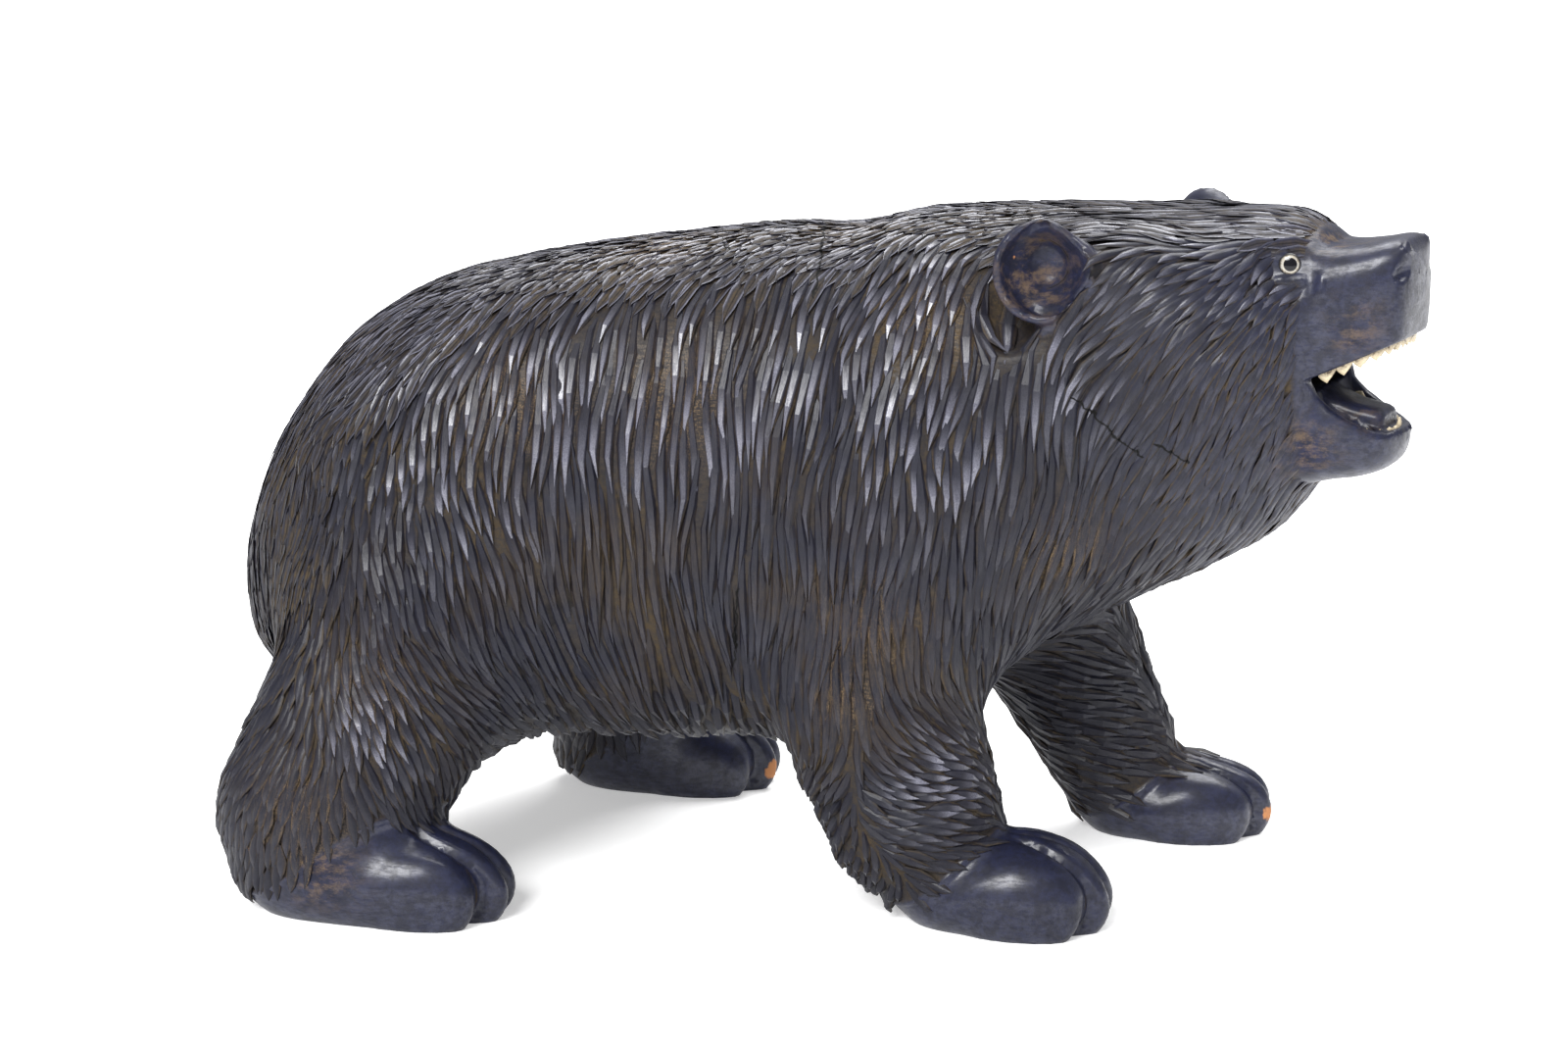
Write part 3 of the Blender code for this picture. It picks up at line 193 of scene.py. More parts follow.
# How the fur is cut: for which side, where on the straight bear, how far that holds, which way the locks
# point on its left side, and their width, length, depth and roundness (0 hollow gouges, 1 raised leaves)
BOTH = 0
FUR = [
    (BOTH, (-214, 8, 128), 26, (-0.05, 0.10, -1.00), 3.0, 16, 0.9, 0.10),
    (BOTH, (-203, 46, 122), 26, (-0.02, 0.08, -1.00), 3.0, 16, 0.9, 0.10),
    (BOTH, (-208, 10, 165), 28, (-0.35, 0.12, -0.93), 3.0, 16, 0.9, 0.10),
    (BOTH, (-190, 44, 168), 26, (-0.38, 0.18, -0.90), 3.0, 16, 0.9, 0.10),
    (BOTH, (-172, 58, 140), 24, (-0.20, 0.10, -0.97), 3.0, 16, 0.9, 0.25),
    (BOTH, (-180, 10, 206), 28, (-0.68, 0.20, -0.70), 3.0, 16, 0.9, 0.10),
    (BOTH, (-164, 46, 196), 24, (-0.52, 0.20, -0.82), 3.0, 16, 0.9, 0.12),
    (BOTH, (-138, 14, 228), 28, (-0.80, 0.35, -0.45), 2.8, 8.5, 0.9, 0.10),
    (BOTH, (-134, 40, 215), 20, (-0.62, 0.32, -0.70), 2.8, 8.5, 0.9, 0.15),
    (BOTH, (-90, 8, 243), 24, (-0.85, 0.40, -0.30), 3.0, 8.5, 0.9, 0.05),
    (BOTH, (-92, 30, 235), 18, (-0.62, 0.50, -0.60), 2.9, 8.5, 0.9, 0.05),
    (BOTH, (-94, 42, 227), 15, (-0.36, 0.35, -0.86), 2.9, 9, 0.9, 0.10),
    (BOTH, (-50, 8, 247), 24, (-0.85, 0.40, -0.30), 3.0, 8.5, 0.9, 0.05),
    (BOTH, (-50, 30, 240), 18, (-0.62, 0.50, -0.60), 2.9, 8.5, 0.9, 0.05),
    (BOTH, (-58, 44, 230), 15, (-0.30, 0.35, -0.88), 2.9, 9, 0.9, 0.10),
    (BOTH, (-8, 8, 251), 24, (-0.85, 0.40, -0.30), 3.0, 8.5, 0.9, 0.05),
    (BOTH, (-8, 30, 244), 18, (-0.62, 0.50, -0.60), 2.9, 8.5, 0.9, 0.05),
    (BOTH, (-20, 44, 234), 15, (-0.30, 0.35, -0.88), 2.9, 9, 0.9, 0.10),
    (BOTH, (18, 42, 238), 15, (-0.36, 0.35, -0.86), 2.9, 9, 0.9, 0.10),
    (BOTH, (30, 8, 255), 24, (-0.85, 0.40, -0.30), 3.0, 8.5, 0.9, 0.08),
    (BOTH, (66, 12, 259), 26, (-0.90, 0.40, -0.20), 3.0, 9, 0.9, 0.10),
    (BOTH, (-142, 60, 186), 18, (-0.20, 0.10, -0.97), 3.5, 20, 1.2, 0.50),
    (BOTH, (-112, 55, 208), 17, (-0.16, 0.10, -0.97), 3.5, 24, 1.3, 0.60),
    (BOTH, (-78, 57, 213), 17, (-0.06, 0.15, -0.99), 3.5, 34, 1.6, 1.00),
    (BOTH, (-40, 58, 216), 17, (-0.05, 0.20, -0.98), 3.5, 36, 1.6, 1.00),
    (BOTH, (0, 58, 218), 17, (-0.06, 0.20, -0.98), 3.5, 36, 1.6, 1.00),
    (BOTH, (-108, 66, 190), 24, (-0.04, 0.05, -1.00), 3.6, 30, 1.5, 1.00),
    (BOTH, (-72, 66, 198), 24, (-0.03, 0.05, -1.00), 3.7, 42, 1.7, 1.00),
    (BOTH, (-34, 66, 202), 24, (-0.02, 0.05, -1.00), 3.7, 44, 1.7, 1.00),
    (BOTH, (6, 68, 204), 24, (-0.06, 0.05, -1.00), 3.7, 42, 1.7, 1.00),
    (BOTH, (-80, 76, 160), 28, (0.03, 0.00, -1.00), 3.6, 42, 1.7, 0.90),
    (BOTH, (-38, 76, 160), 28, (0.00, 0.00, -1.00), 3.6, 46, 1.7, 0.90),
    (BOTH, (4, 78, 160), 26, (-0.03, 0.00, -1.00), 3.6, 42, 1.7, 0.90),
    (BOTH, (-152, 70, 160), 20, (0.08, 0.05, -1.00), 3.7, 19, 1.5, 1.00),
    (BOTH, (-132, 76, 148), 20, (0.20, 0.04, -0.98), 3.8, 20, 1.6, 1.00),
    (BOTH, (-108, 78, 140), 20, (0.26, 0.00, -0.97), 3.8, 24, 1.6, 1.00),
    (BOTH, (-150, 84, 118), 22, (0.22, 0.04, -0.97), 3.5, 18, 1.1, 0.80),
    (BOTH, (-118, 82, 104), 24, (0.42, 0.00, -0.91), 3.5, 26, 1.3, 0.70),
    (BOTH, (-80, 74, 118), 26, (0.24, -0.05, -0.97), 3.5, 44, 1.6, 0.65),
    (BOTH, (-42, 70, 108), 28, (0.10, -0.15, -0.98), 3.4, 50, 1.7, 0.60),
    (BOTH, (-4, 72, 112), 24, (-0.10, -0.20, -0.97), 3.4, 44, 1.6, 0.60),
    (BOTH, (-66, 52, 72), 26, (0.18, -0.40, -0.90), 4.0, 22, 2.3, 0.90),
    (BOTH, (-20, 52, 68), 26, (0.05, -0.40, -0.90), 4.0, 22, 2.3, 0.90),
    (BOTH, (-40, 5, 54), 34, (0.35, -0.90, -0.20), 4.8, 28, 1.4, 0.80),
    (BOTH, (40, 54, 238), 20, (-0.16, 0.30, -0.93), 3.5, 18, 1.2, 0.80),
    (BOTH, (46, 66, 214), 24, (-0.12, 0.10, -0.98), 3.9, 21, 1.6, 1.00),
    (BOTH, (40, 76, 180), 24, (-0.14, 0.06, -0.98), 3.9, 22, 1.6, 1.00),
    (BOTH, (62, 78, 176), 22, (-0.08, 0.06, -0.99), 3.8, 24, 1.5, 1.00),
    (BOTH, (30, 78, 146), 22, (-0.10, 0.05, -0.99), 3.7, 30, 1.5, 0.85),
    (BOTH, (84, 74, 206), 22, (-0.10, 0.05, -1.00), 3.9, 42, 1.3, 0.95),
    (BOTH, (104, 70, 176), 26, (-0.06, 0.00, -1.00), 3.8, 42, 1.2, 0.90),
    (BOTH, (84, 72, 134), 26, (-0.10, 0.00, -1.00), 3.6, 34, 1.2, 0.85),
    (BOTH, (118, 62, 148), 26, (-0.25, -0.10, -0.95), 3.6, 30, 1.0, 0.85),
    (BOTH, (120, 26, 116), 32, (-0.60, -0.45, -0.65), 4.2, 24, 1.2, 0.85),
    (BOTH, (140, 60, 232), 18, (-0.70, 0.25, -0.66), 2.8, 22, 0.6, 0.90),
    (BOTH, (152, 54, 214), 20, (-0.62, 0.15, -0.77), 2.6, 24, 0.45, 0.90),
    (BOTH, (142, 58, 190), 22, (-0.48, 0.05, -0.87), 2.7, 26, 0.5, 0.90),
    (BOTH, (166, 44, 190), 20, (-0.55, -0.05, -0.83), 2.5, 18, 0.4, 0.90),
    (BOTH, (152, 46, 162), 22, (-0.50, -0.20, -0.84), 2.7, 18, 0.5, 0.85),
    (BOTH, (172, 16, 160), 24, (-0.70, -0.30, -0.65), 3.2, 18, 0.7, 0.85),
    (BOTH, (186, 34, 212), 16, (-0.58, 0.10, -0.81), 2.5, 13, 0.25, 0.90),
    (BOTH, (186, 32, 184), 16, (-0.58, 0.00, -0.81), 2.5, 13, 0.25, 0.90),
    (BOTH, (164, 44, 244), 15, (-0.72, 0.15, -0.66), 2.8, 13, 0.7, 1.00),
    (BOTH, (178, 40, 240), 12, (-0.55, 0.15, -0.82), 3.0, 11, 0.7, 1.00),
    (BOTH, (150, 14, 262), 26, (-1.00, 0.25, -0.10), 2.9, 16, 0.6, 0.12),
    (BOTH, (118, 20, 261), 24, (-0.98, 0.25, -0.10), 3.0, 15, 0.7, 0.12),
    (BOTH, (178, 26, 258), 14, (-0.90, 0.35, -0.20), 2.8, 13, 0.5, 0.30),
    (RIGHT, (-202, 86, 62), 20, (-0.55, 0.00, -0.84), 3.2, 16, 0.8, 0.60),
    (RIGHT, (-176, 100, 66), 22, (-0.10, 0.10, -0.99), 3.2, 15, 0.7, 0.75),
    (RIGHT, (-145, 98, 74), 22, (0.45, 0.05, -0.89), 3.4, 16, 0.9, 0.80),
    (RIGHT, (-120, 86, 72), 20, (0.68, -0.10, -0.73), 3.4, 18, 1.6, 0.80),
    (RIGHT, (-198, 92, 36), 14, (-0.30, 0.00, -0.95), 2.8, 12, 0.7, 0.70),
    (LEFT, (-120, 86, 62), 20, (-0.55, 0.00, -0.84), 3.4, 16, 0.8, 0.60),
    (LEFT, (-94, 100, 68), 22, (0.00, 0.10, -0.99), 3.4, 15, 0.8, 0.75),
    (LEFT, (-46, 90, 74), 24, (0.50, -0.10, -0.80), 3.4, 18, 1.0, 0.80),
    (RIGHT, (22, 78, 104), 26, (-0.06, 0.05, -1.00), 3.6, 28, 1.1, 0.80),
    (RIGHT, (56, 74, 108), 22, (0.08, 0.05, -1.00), 3.6, 24, 1.1, 0.80),
    (RIGHT, (46, 78, 80), 12, (0.75, 0.00, -0.66), 3.6, 18, 1.2, 1.00),
    (RIGHT, (62, 74, 66), 21, (1.00, 0.00, -0.10), 3.6, 13, 1.3, 1.00),
    (RIGHT, (50, 76, 42), 17, (1.00, 0.00, -0.10), 3.0, 14, 0.7, 0.70),
    (RIGHT, (16, 68, 52), 13, (-0.60, 0.00, -0.80), 3.8, 15, 2.4, 0.80),
    (RIGHT, (32, 70, 26), 12, (-0.50, 0.00, -0.87), 3.4, 13, 2.4, 0.80),
    (RIGHT, (-66, 60, 56), 14, (0.60, -0.10, -0.80), 3.8, 16, 2.4, 0.90),
    (RIGHT, (-86, 74, 42), 13, (0.65, -0.10, -0.75), 3.6, 14, 2.4, 0.90),
    (LEFT, (74, 50, 104), 20, (0.55, 0.00, -0.84), 3.8, 22, 1.0, 0.80),
    (LEFT, (100, 34, 88), 22, (1.00, 0.00, -0.20), 4.0, 24, 1.5, 1.00),
    (LEFT, (110, 34, 60), 22, (1.00, 0.00, -0.15), 4.0, 22, 1.5, 1.00),
    (LEFT, (116, 66, 60), 24, (1.00, 0.05, -0.15), 4.6, 24, 1.2, 0.90),
]
LEG_WEIGHT = 4.0  # how much a leg's own fur outweighs the body's
WOBBLE = 0.08  # how far the lay sways, in radians

# The shape of a lock. Along it: where, how wide, how high. Across it: where, how high, how much of a crest; the
# crest is where pale painted highlight goes, and where it is lacking the finish paints shade.
LEAF = ([(-1.0, 0.12, -0.90), (-0.50, 0.68, -0.28), (0.10, 1.0, 0.05), (0.62, 0.66, 0.52), (1.10, 0.04, 0.0)],
        [(-1.0, -1.15, 0.0), (-0.38, 0.0, 1.0), (0.38, 0.0, 1.0), (1.0, -1.15, 0.0)])
SCALE = ([(-0.95, 0.60, -0.45), (-0.15, 1.0, -0.05), (0.50, 0.85, 0.10), (1.0, 0.14, 0.20), (1.05, 0.12, -0.40)],
         [(-1.0, 0.0, 1.0), (0.0, -0.55, 0.0), (1.0, 0.0, 1.0)])
CROWDING = (0.84, 0.54)  # how close locks stand sideways and lengthwise, as shares of their width and length
WIDTHS, LENGTHS, DEPTHS = (1.45, 1.85), (1.0, 1.5), (0.85, 1.2)  # how single locks vary from what is asked for
LIFT, BEND = 0.25, 0.05  # how far they are raised or sunk, in depths, and bent sideways
ROLL, PITCH = 0.16, 0.03  # how far they are tilted sideways and lengthwise
HOLLOW_TILT, HOLLOW_TIP = 0.4, 0.6  # how much less hollow scales are tilted, and how much rubbed wear and pale painted highlight they take all along
RAGGED = 0.2  # how far the tips of the deepest locks stand off, as a slope
RAGGED_DEPTHS = (1.8, 2.3)  # the depths between which they start to
SOFT_DEPTH = 0.85  # locks shallower than this have soft edges, the others sharp ones
LOCK_STEPS = 3  # steps from the middle of a lock to either end
LOCK_REACH = 0.6  # how far along half a lock its way is looked at
BESIDE_EAR, LEVEL = 36, 0.7  # near an ear the skin may turn only so little along a lock, as a cosine

BEDDED = (0.3, 0.9)  # the shares of fur between which the wood sinks under the locks
UNDER_FUR = 1.5  # how far it sinks
FUR_FADES = (187, 198)  # where the fur ends on the muzzle, along the straight head
HEM_STEP = 1.3  # how far the fur stands out over the bare paws
GROOVE_WIDTH, GROOVE_DEPTH = 1.5, 2.8  # half the width and the depth of the cuts between the toes

# Drying cracks: how much each axis counts in the distance from a crack, because the locks stand off the line
# through its places, and then those places
ON_SIDE, ON_BACK = (1.0, 0.1, 1.0), (1.0, 1.0, 0.12)
CRACKS = [
    (ON_SIDE, [(101.7, -74.6, 200.9), (107.7, -75.1, 196.7), (115.8, -75.2, 189.2), (126.2, -74.4, 180.6)]),
    (ON_SIDE, [(130.5, -74.1, 186.0), (136.4, -73.8, 182.6), (142.3, -72.1, 178.3)]),
    (ON_BACK, [(2.8, -6.4, 249.6), (5.8, -35.1, 242.7), (6.2, -52.9, 229.9)]),
    (ON_BACK, [(-41.5, 0.9, 245.8), (-29.1, -31.3, 242.7)]),
    (ON_SIDE, [(-18.9, -73.0, 126.2), (-20.2, -68.2, 106.5), (-21.4, -57.9, 84.9)]),
]

# Wear on the wood, and where pale painted highlight goes on the crests: round spots with their radius
BARE_SPOTS = [((-31.8, 80.9, 9.0), 7), ((174.9, 56.9, 9.0), 8), ((-195, -107, 28.5), 3), ((79.8, -63, 248.3), 2.5),
              ((112, -75, 197), 3), ((-20, -66, 100), 3)]
DUST_SPOTS = [((12.7, -12, 250), 16), ((86, -66, 242), 18), ((-42, -67.2, 196.8), 26), ((-104, -68, 191), 24),
              ((28.3, -80.7, 115.6), 22), ((21.2, -80.3, 90), 16), ((50.1, -65.2, 224.1), 20),
              ((100.7, -69, 144.7), 18), ((182.2, -55.2, 180.4), 12), ((198, -59, 226), 9), ((-168, -111, 22), 14),
              ((131, 56, 33), 12), ((-176, -106, 44), 20), ((-150, -104, 92), 22), ((190, -40, 254), 12),
              ((203, -50, 196), 9), ((-60, -20, 247), 22), ((-140, -60, 120), 18)]
POLISH_AND_HIGHLIGHT_SPOTS = [((-134, -78, 164), 20), ((-116, -78, 146), 20), ((-92, -62, 204), 20), ((-82, -70, 184), 24),
                  ((-52, -70, 184), 26), ((-26, -70, 186), 24), ((6, -68, 206), 20), ((34, -66, 222), 24),
                  ((44, -74, 196), 26), ((46, -80, 170), 22), ((60, -78, 182), 20), ((56, -78, 56), 17),
                  ((-132, -32, 214), 58), ((-60, -15, 246), 80), ((30, -15, 252), 80), ((98, -76, 200), 16),
                  ((90, -76, 218), 14), ((120, -30, 260), 50), ((165, -45, 262), 30), ((172, -62, 246), 14),
                  ((-205, 0, 170), 50), ((-170, -30, 205), 40), ((-150, -95, 70), 18)]
BROWN_SPOTS = [((-70, -70, 130), 75), ((0, -75, 120), 60), ((-70, 70, 130), 75), ((0, 75, 120), 60),
               ((-20, -66, 200), 60), ((-20, 66, 200), 60), ((30, -80, 90), 40)]
# The spots written on the mesh: bare wood, dust, brown, and the polish spots that also place painted highlight
WEAR_AND_HIGHLIGHT_SPOTS = {"bare": BARE_SPOTS, "dust": DUST_SPOTS, "polish": POLISH_AND_HIGHLIGHT_SPOTS, "brown": BROWN_SPOTS}

PUPIL_SHIFT = (0.0002, 0.0, 0.0)  # how far a pupil is moved from the middle of its eye, in metres

# Colours that no setting changes
BLACK_STAIN = (0.005, 0.005, 0.009)  # where the stain has run together
# Painted shade: the colour that the deepest cuts are painted
CUT_SHADE_BLACK = (0.002, 0.002, 0.0025)
CRACK_BLACK = (0.002, 0.002, 0.002)
EYE_VEIN = (0.42, 0.36, 0.27)
EYE_DIRT = (0.10, 0.075, 0.05)
EYE_RIM = (0.02, 0.02, 0.022)
PUPIL_BLACK = (0.004, 0.004, 0.006)
TOOTH_VEIN = (0.38, 0.29, 0.17)
TOOTH_DIRT = (0.07, 0.045, 0.028)


def unit(vector):
    """The vector at length 1."""
    vector = np.asarray(vector, float)
    return vector / np.linalg.norm(vector)


def mirrored(place, side):
    """A place or direction that is given for the left side, on either side."""
    return place[0], side * place[1], place[2]


def smooth_step(value, low, high):
    """A soft rise from 0 at low to 1 at high."""
    t = np.clip((value - low) / (high - low), 0.0, 1.0)
    return t * t * (3.0 - 2.0 * t)


def join(a, b, blend):
    """The union of two forms, with a fillet that starts where they are within blend of each other."""
    fillet = np.maximum(blend - np.abs(a - b), 0.0) / blend
    return np.minimum(a, b) - fillet * fillet * blend * 0.25


def cut_to(a, b, blend):
    """What forms a and b have in common."""
    return -join(-a, -b, blend)


def cut(a, b, blend):
    """Form a with form b taken out of it."""
    return cut_to(a, -b, blend)


def swung(points, c, s):
    """Points turned round the upright line through the nape, by the angle with cosine c and sine s."""
    ahead, across = points[:, 0] - NAPE, points[:, 1]
    return np.column_stack([c * ahead - s * across + NAPE, s * ahead + c * across, points[:, 2]])


def turned(points, direction=1.0):
    """Points of the turned neck and head laid back on the straight body, or with direction -1 the reverse."""
    angle = direction * HEAD_TURN * smooth_step(points[:, 0], *NECK_BEND)
    return swung(points, np.cos(angle), np.sin(angle))


def on_head(points, direction=1.0):
    """The same for what is carved on the skull, which turns as one."""
    return swung(points, math.cos(direction * HEAD_TURN), math.sin(direction * HEAD_TURN))


def blob(points, centre, radii, tilt=0.0, heading=0.0):
    """An ellipsoid, tilted nose up and turned about the vertical."""
    turn = np.array(Euler((0.0, -tilt, heading)).to_matrix())
    local = (points - np.asarray(centre, float)) @ turn
    radii = np.asarray(radii, float)
    k0 = np.linalg.norm(local / radii, axis=1)
    k1 = np.linalg.norm(local / radii**2, axis=1)
    return k0 * (k0 - 1.0) / np.maximum(k1, 1e-9)


def limb(points, start, start_radius, end, end_radius, slim=1.0):
    """A tapered bar with round ends, and narrower across the body by slim."""
    shrink = np.array([1.0, 1.0 / slim, 1.0])
    a, b = np.asarray(start, float) * shrink, np.asarray(end, float) * shrink
    p = points * shrink
    along = np.clip(((p - a) @ (b - a)) / ((b - a) @ (b - a)), 0.0, 1.0)
    radius = start_radius + (end_radius - start_radius) * along
    return (np.linalg.norm(p - a - along[:, None] * (b - a), axis=1) - radius) * slim


def through(a, b, c, d, t):
    """The smooth curve from b to c that also heeds a and d, at each share t of the way."""
    bend, twist = 2 * a - 5 * b + 4 * c - d, 3 * b - a - 3 * c + d
    return 0.5 * (2 * b + (c - a) * t + bend * t**2 + twist * t**3)


def fair_sections(table, samples=24):
    """The sections drawn out with a smooth curve through every station."""
    rows = np.array(table, float)
    padded = np.vstack([2 * rows[0] - rows[1], rows, 2 * rows[-1] - rows[-2]])
    t = np.linspace(0.0, 1.0, samples, endpoint=False)[:, None]
    out = []
    for a, b, c, d in zip(padded, padded[1:], padded[2:], padded[3:]):
        out.append(through(a, b, c, d, t))
    out = np.vstack(out + [rows[-1:]])
    out[:, 0] = np.maximum.accumulate(out[:, 0])
    return out


SECTIONS = {name: fair_sections(table) for name, table in (
    ("trunk", TRUNK), ("muzzle", MUZZLE), ("jaw", JAW), ("tongue", TONGUE))}


def loft(points, name, power):
    """A body through the named sections, each a rounded rectangle."""
    rows = SECTIONS[name]
    x = np.clip(points[:, 0], rows[0, 0], rows[-1, 0])
    top, bottom, half_width = (np.interp(x, rows[:, 0], rows[:, i]) for i in (1, 2, 3))
    half_height = np.maximum((top - bottom) / 2.0, 0.5)
    across, up = points[:, 1], points[:, 2] - (top + bottom) / 2.0
    share = np.abs(across / np.maximum(half_width, 0.5)) ** power + np.abs(up / half_height) ** power
    share = share ** (1.0 / power)
    radius = np.hypot(across, up)
    distance = radius * (1.0 - 1.0 / np.maximum(share, 1e-6))
    distance = np.where(radius < 1e-6, -np.minimum(half_width, half_height), distance)
    beyond = np.abs(points[:, 0] - x)
    return np.where(beyond > 0, np.hypot(np.maximum(distance, 0.0), beyond), distance)


def in_foot(points, leg):
    """Places seen from a foot: forwards from the heel, to its left, and up."""
    c, s = math.cos(math.radians(leg["heading"])), math.sin(math.radians(leg["heading"]))
    flat = points[:, :2] - np.array(leg["heel"], float)
    return np.column_stack([flat @ [c, s], flat @ [-s, c], points[:, 2]])


def foot_masses(leg):
    """The egg shapes that a foot is rounded up from: the sole, the humped instep and a lobe for each toe."""
    length, half, rise = leg["length"], FOOT_HALF_WIDTH, leg["rise"]
    sole = ((0.45 * length, 0, 13), (0.45 * length, half, 20))
    instep = ((0.62 * length, 0, 15 * rise), (0.31 * length, half * 0.94, 22 * rise))
    masses = [sole, instep]
    spread = 2.0 * half / TOES
    for toe in range(TOES):
        side = (toe - (TOES - 1) / 2.0) * spread * 0.93
        back = TOE_LENGTH + TOE_ROUND * (side / half) ** 2
        lobe = (TOE_LENGTH, spread * 0.60, TOE_HEIGHT * 0.60)
        masses.append(((length - back, side, TOE_HEIGHT * 0.36), lobe))
    return masses


def foot(points, leg):
    """A broad flat-soled foot with a humped instep and curled toes."""
    p = in_foot(points, leg)
    sole, instep, first_toe, *more_toes = foot_masses(leg)
    form = join(blob(p, *sole), blob(p, *instep), blend=10.0)
    toes = blob(p, *first_toe)
    for toe in more_toes:
        toes = join(toes, blob(p, *toe), TOE_BLEND)
    return join(form, toes, blend=4.0)


def near(points, centre, reach):
    """Which of the points are close to a place."""
    return np.linalg.norm(points - np.asarray(centre, float), axis=1) < reach


def add(form, points, part, centre, reach, blend):
    """Joins one part to the form where the points are close enough to feel it."""
    close = near(points, centre, reach + blend)
    if close.any():
        form[close] = join(form[close], part(points[close]), blend)


def take(form, points, part, centre, reach, blend):
    """Takes one part out of the form in the same way."""
    close = near(points, centre, reach + blend)
    if close.any():
        form[close] = cut(form[close], part(points[close]), blend)


def add_leg(form, points, leg):
    """Joins a leg to the form: the mass in the body, the limb and the foot."""
    centre, radii = leg["mass"]
    (upper, upper_radius), (ankle, ankle_radius) = leg["upper"], leg["ankle"]
    heel, length = leg["heel"], leg["length"]
    add(form, points, lambda p: blob(p, centre, radii), centre, reach=max(radii), blend=20.0)
    middle = (np.array(upper) + np.array(ankle)) / 2.0
    reach = np.linalg.norm(np.array(upper) - np.array(ankle)) / 2.0 + upper_radius
    add(form, points, lambda p: limb(p, upper, upper_radius, ankle, ankle_radius, leg["slim"]), middle, reach,
        blend=leg["fold"])
    sole = (heel[0] + length / 2.0, heel[1], 15.0)
    add(form, points, lambda p: foot(p, leg), sole, reach=length / 2.0 + 12.0, blend=6.0)


def ear_frame(side):
    """The ear's own axes as columns: outwards through the cup, forwards, and up."""
    out = unit(mirrored(EAR_FACING, side))
    up = unit(np.array([0.0, 0.0, 1.0]) - out * out[2])
    forward = np.cross(up, out)
    return np.column_stack([out, forward if forward[0] > 0 else -forward, up])


def ear_cup(points, side, offset, radii):
    """One of the ear's egg shapes, narrower towards the front, and how far outwards each point lies."""
    local = (points - np.array(EARS[side], float)) @ ear_frame(side)
    pinch = 1.0 - EAR_PINCH * np.clip(local[:, 1] / EAR_RADIUS, 0.0, 1.0) ** 1.4
    local[:, 2] = (local[:, 2] - 2.0 * (1.0 - pinch)) / pinch
    return blob(local, (offset, 0, 0), radii), local[:, 0]


def ear_shell(points, side):
    """The bowl of an ear, cut flat at its rim."""
    bowl, out = ear_cup(points, side, *EAR_BOWL)
    return cut(bowl, EAR_RIM - out, blend=1.5)


def ear_recess(side):
    """The dent in the neck behind and below the ear: its middle and its radii."""
    ear = EARS[side]
    return (ear[0] - 12, ear[1] + side * 2, ear[2] - 11), (12, 12, 16)


def ear_bars(ear):
    """The stem that runs from the ear's front into the cheek, and its root: each two ends with radii."""
    stem = ((ear[0] + 14, ear[1] * 0.90, ear[2] + 3), 6.0, (ear[0] + 26, ear[1] * 0.72, ear[2] - 2), 13.0)
    root = ((ear[0] + 1, ear[1] * 0.80, ear[2]), 9.0, (ear[0] + 2, ear[1] * 0.60, ear[2] - 4), 13.0)
    return stem, root


def temple(side):
    """The swelling of the skull under an ear: its middle and its radii."""
    return (EARS[side][0] + 14, side * 38, 234), (38, 25, 24)


def lips(x):
    """The height of the upper and the lower lip at each place along the jaws."""
    upper = MOUTH_CORNER[1] + (x - MOUTH_CORNER[0]) * math.tan(GAPE)
    places, heights = zip(*LOWER_LIP)
    return upper, np.interp(x, places, heights)


def gape(points):
    """The air between the lips."""
    upper, lower = lips(points[:, 0])
    return np.maximum(points[:, 2] - upper, lower - points[:, 2]) * math.cos(GAPE)


def jaw_half_width(name, x):
    """How wide a named jaw is to either side, at each place along it."""
    rows = SECTIONS[name]
    return np.interp(x, rows[:, 0], rows[:, 3])


def mouth_hollow(points):
    """The hollow behind the lips, from the throat to the front teeth."""
    x, y, z = points.T
    upper, lower = lips(np.maximum(x, MOUTH_CORNER[0]))
    width = np.minimum(jaw_half_width("muzzle", x), jaw_half_width("jaw", x) + 3.0) - LIP_THICKNESS
    form = cut_to(z - upper - PALATE, lower - MOUTH_FLOOR - z, blend=4.0)
    form = cut_to(form, np.abs(y) - np.maximum(width, 2.0), blend=4.0)
    form = cut_to(form, THROAT - x, blend=6.0)
    return cut_to(form, x - MOUTH_FRONT - 0.14 * np.maximum(z - 195.0, 0.0), blend=4.0)


def head_details(form, points):
    """Ears, jaws, mouth and nose, all on the straight head."""
    for side in (RIGHT, LEFT):
        ear = EARS[side]
        skull, behind = temple(side), ear_recess(side)
        add(form, points, lambda p: blob(p, *skull), skull[0], reach=38, blend=12.0)
        take(form, points, lambda p: blob(p, *behind), behind[0], reach=30, blend=6.0)
        add(form, points, lambda p: ear_shell(p, side), ear, reach=EAR_RADIUS + 2, blend=3.0)
        stem, root = ear_bars(ear)
        add(form, points, lambda p: limb(p, *stem), stem[0], reach=36, blend=8.0)
        add(form, points, lambda p: limb(p, *root), root[0], reach=34, blend=6.0)
        take(form, points, lambda p: ear_cup(p, side, *EAR_HOLLOW)[0], ear, reach=EAR_RADIUS + 6, blend=1.0)
    add(form, points, lambda p: loft(p, "muzzle", MUZZLE_POWER), (200, 0, 224), reach=52, blend=7.0)
    add(form, points, lambda p: loft(p, "jaw", JAW_POWER), (198, 0, 186), reach=46, blend=6.0)
    take(form, points, gape, (222, 0, 206), reach=44, blend=1.5)
    take(form, points, mouth_hollow, (204, 0, 206), reach=46, blend=1.5)
    add(form, points, lambda p: loft(p, "tongue", TONGUE_POWER), (202, 0, 196), reach=30, blend=1.0)
    for side in (RIGHT, LEFT):
        nostril = mirrored(NOSTRIL[0], side)
        take(form, points, lambda p: blob(p, nostril, *NOSTRIL[1:]), nostril, reach=9, blend=1.5)
        bed = mirrored(EYE_BED[0], side)
        take(form, points, lambda p: blob(p, bed, EYE_BED[1]), bed, reach=16, blend=6.0)


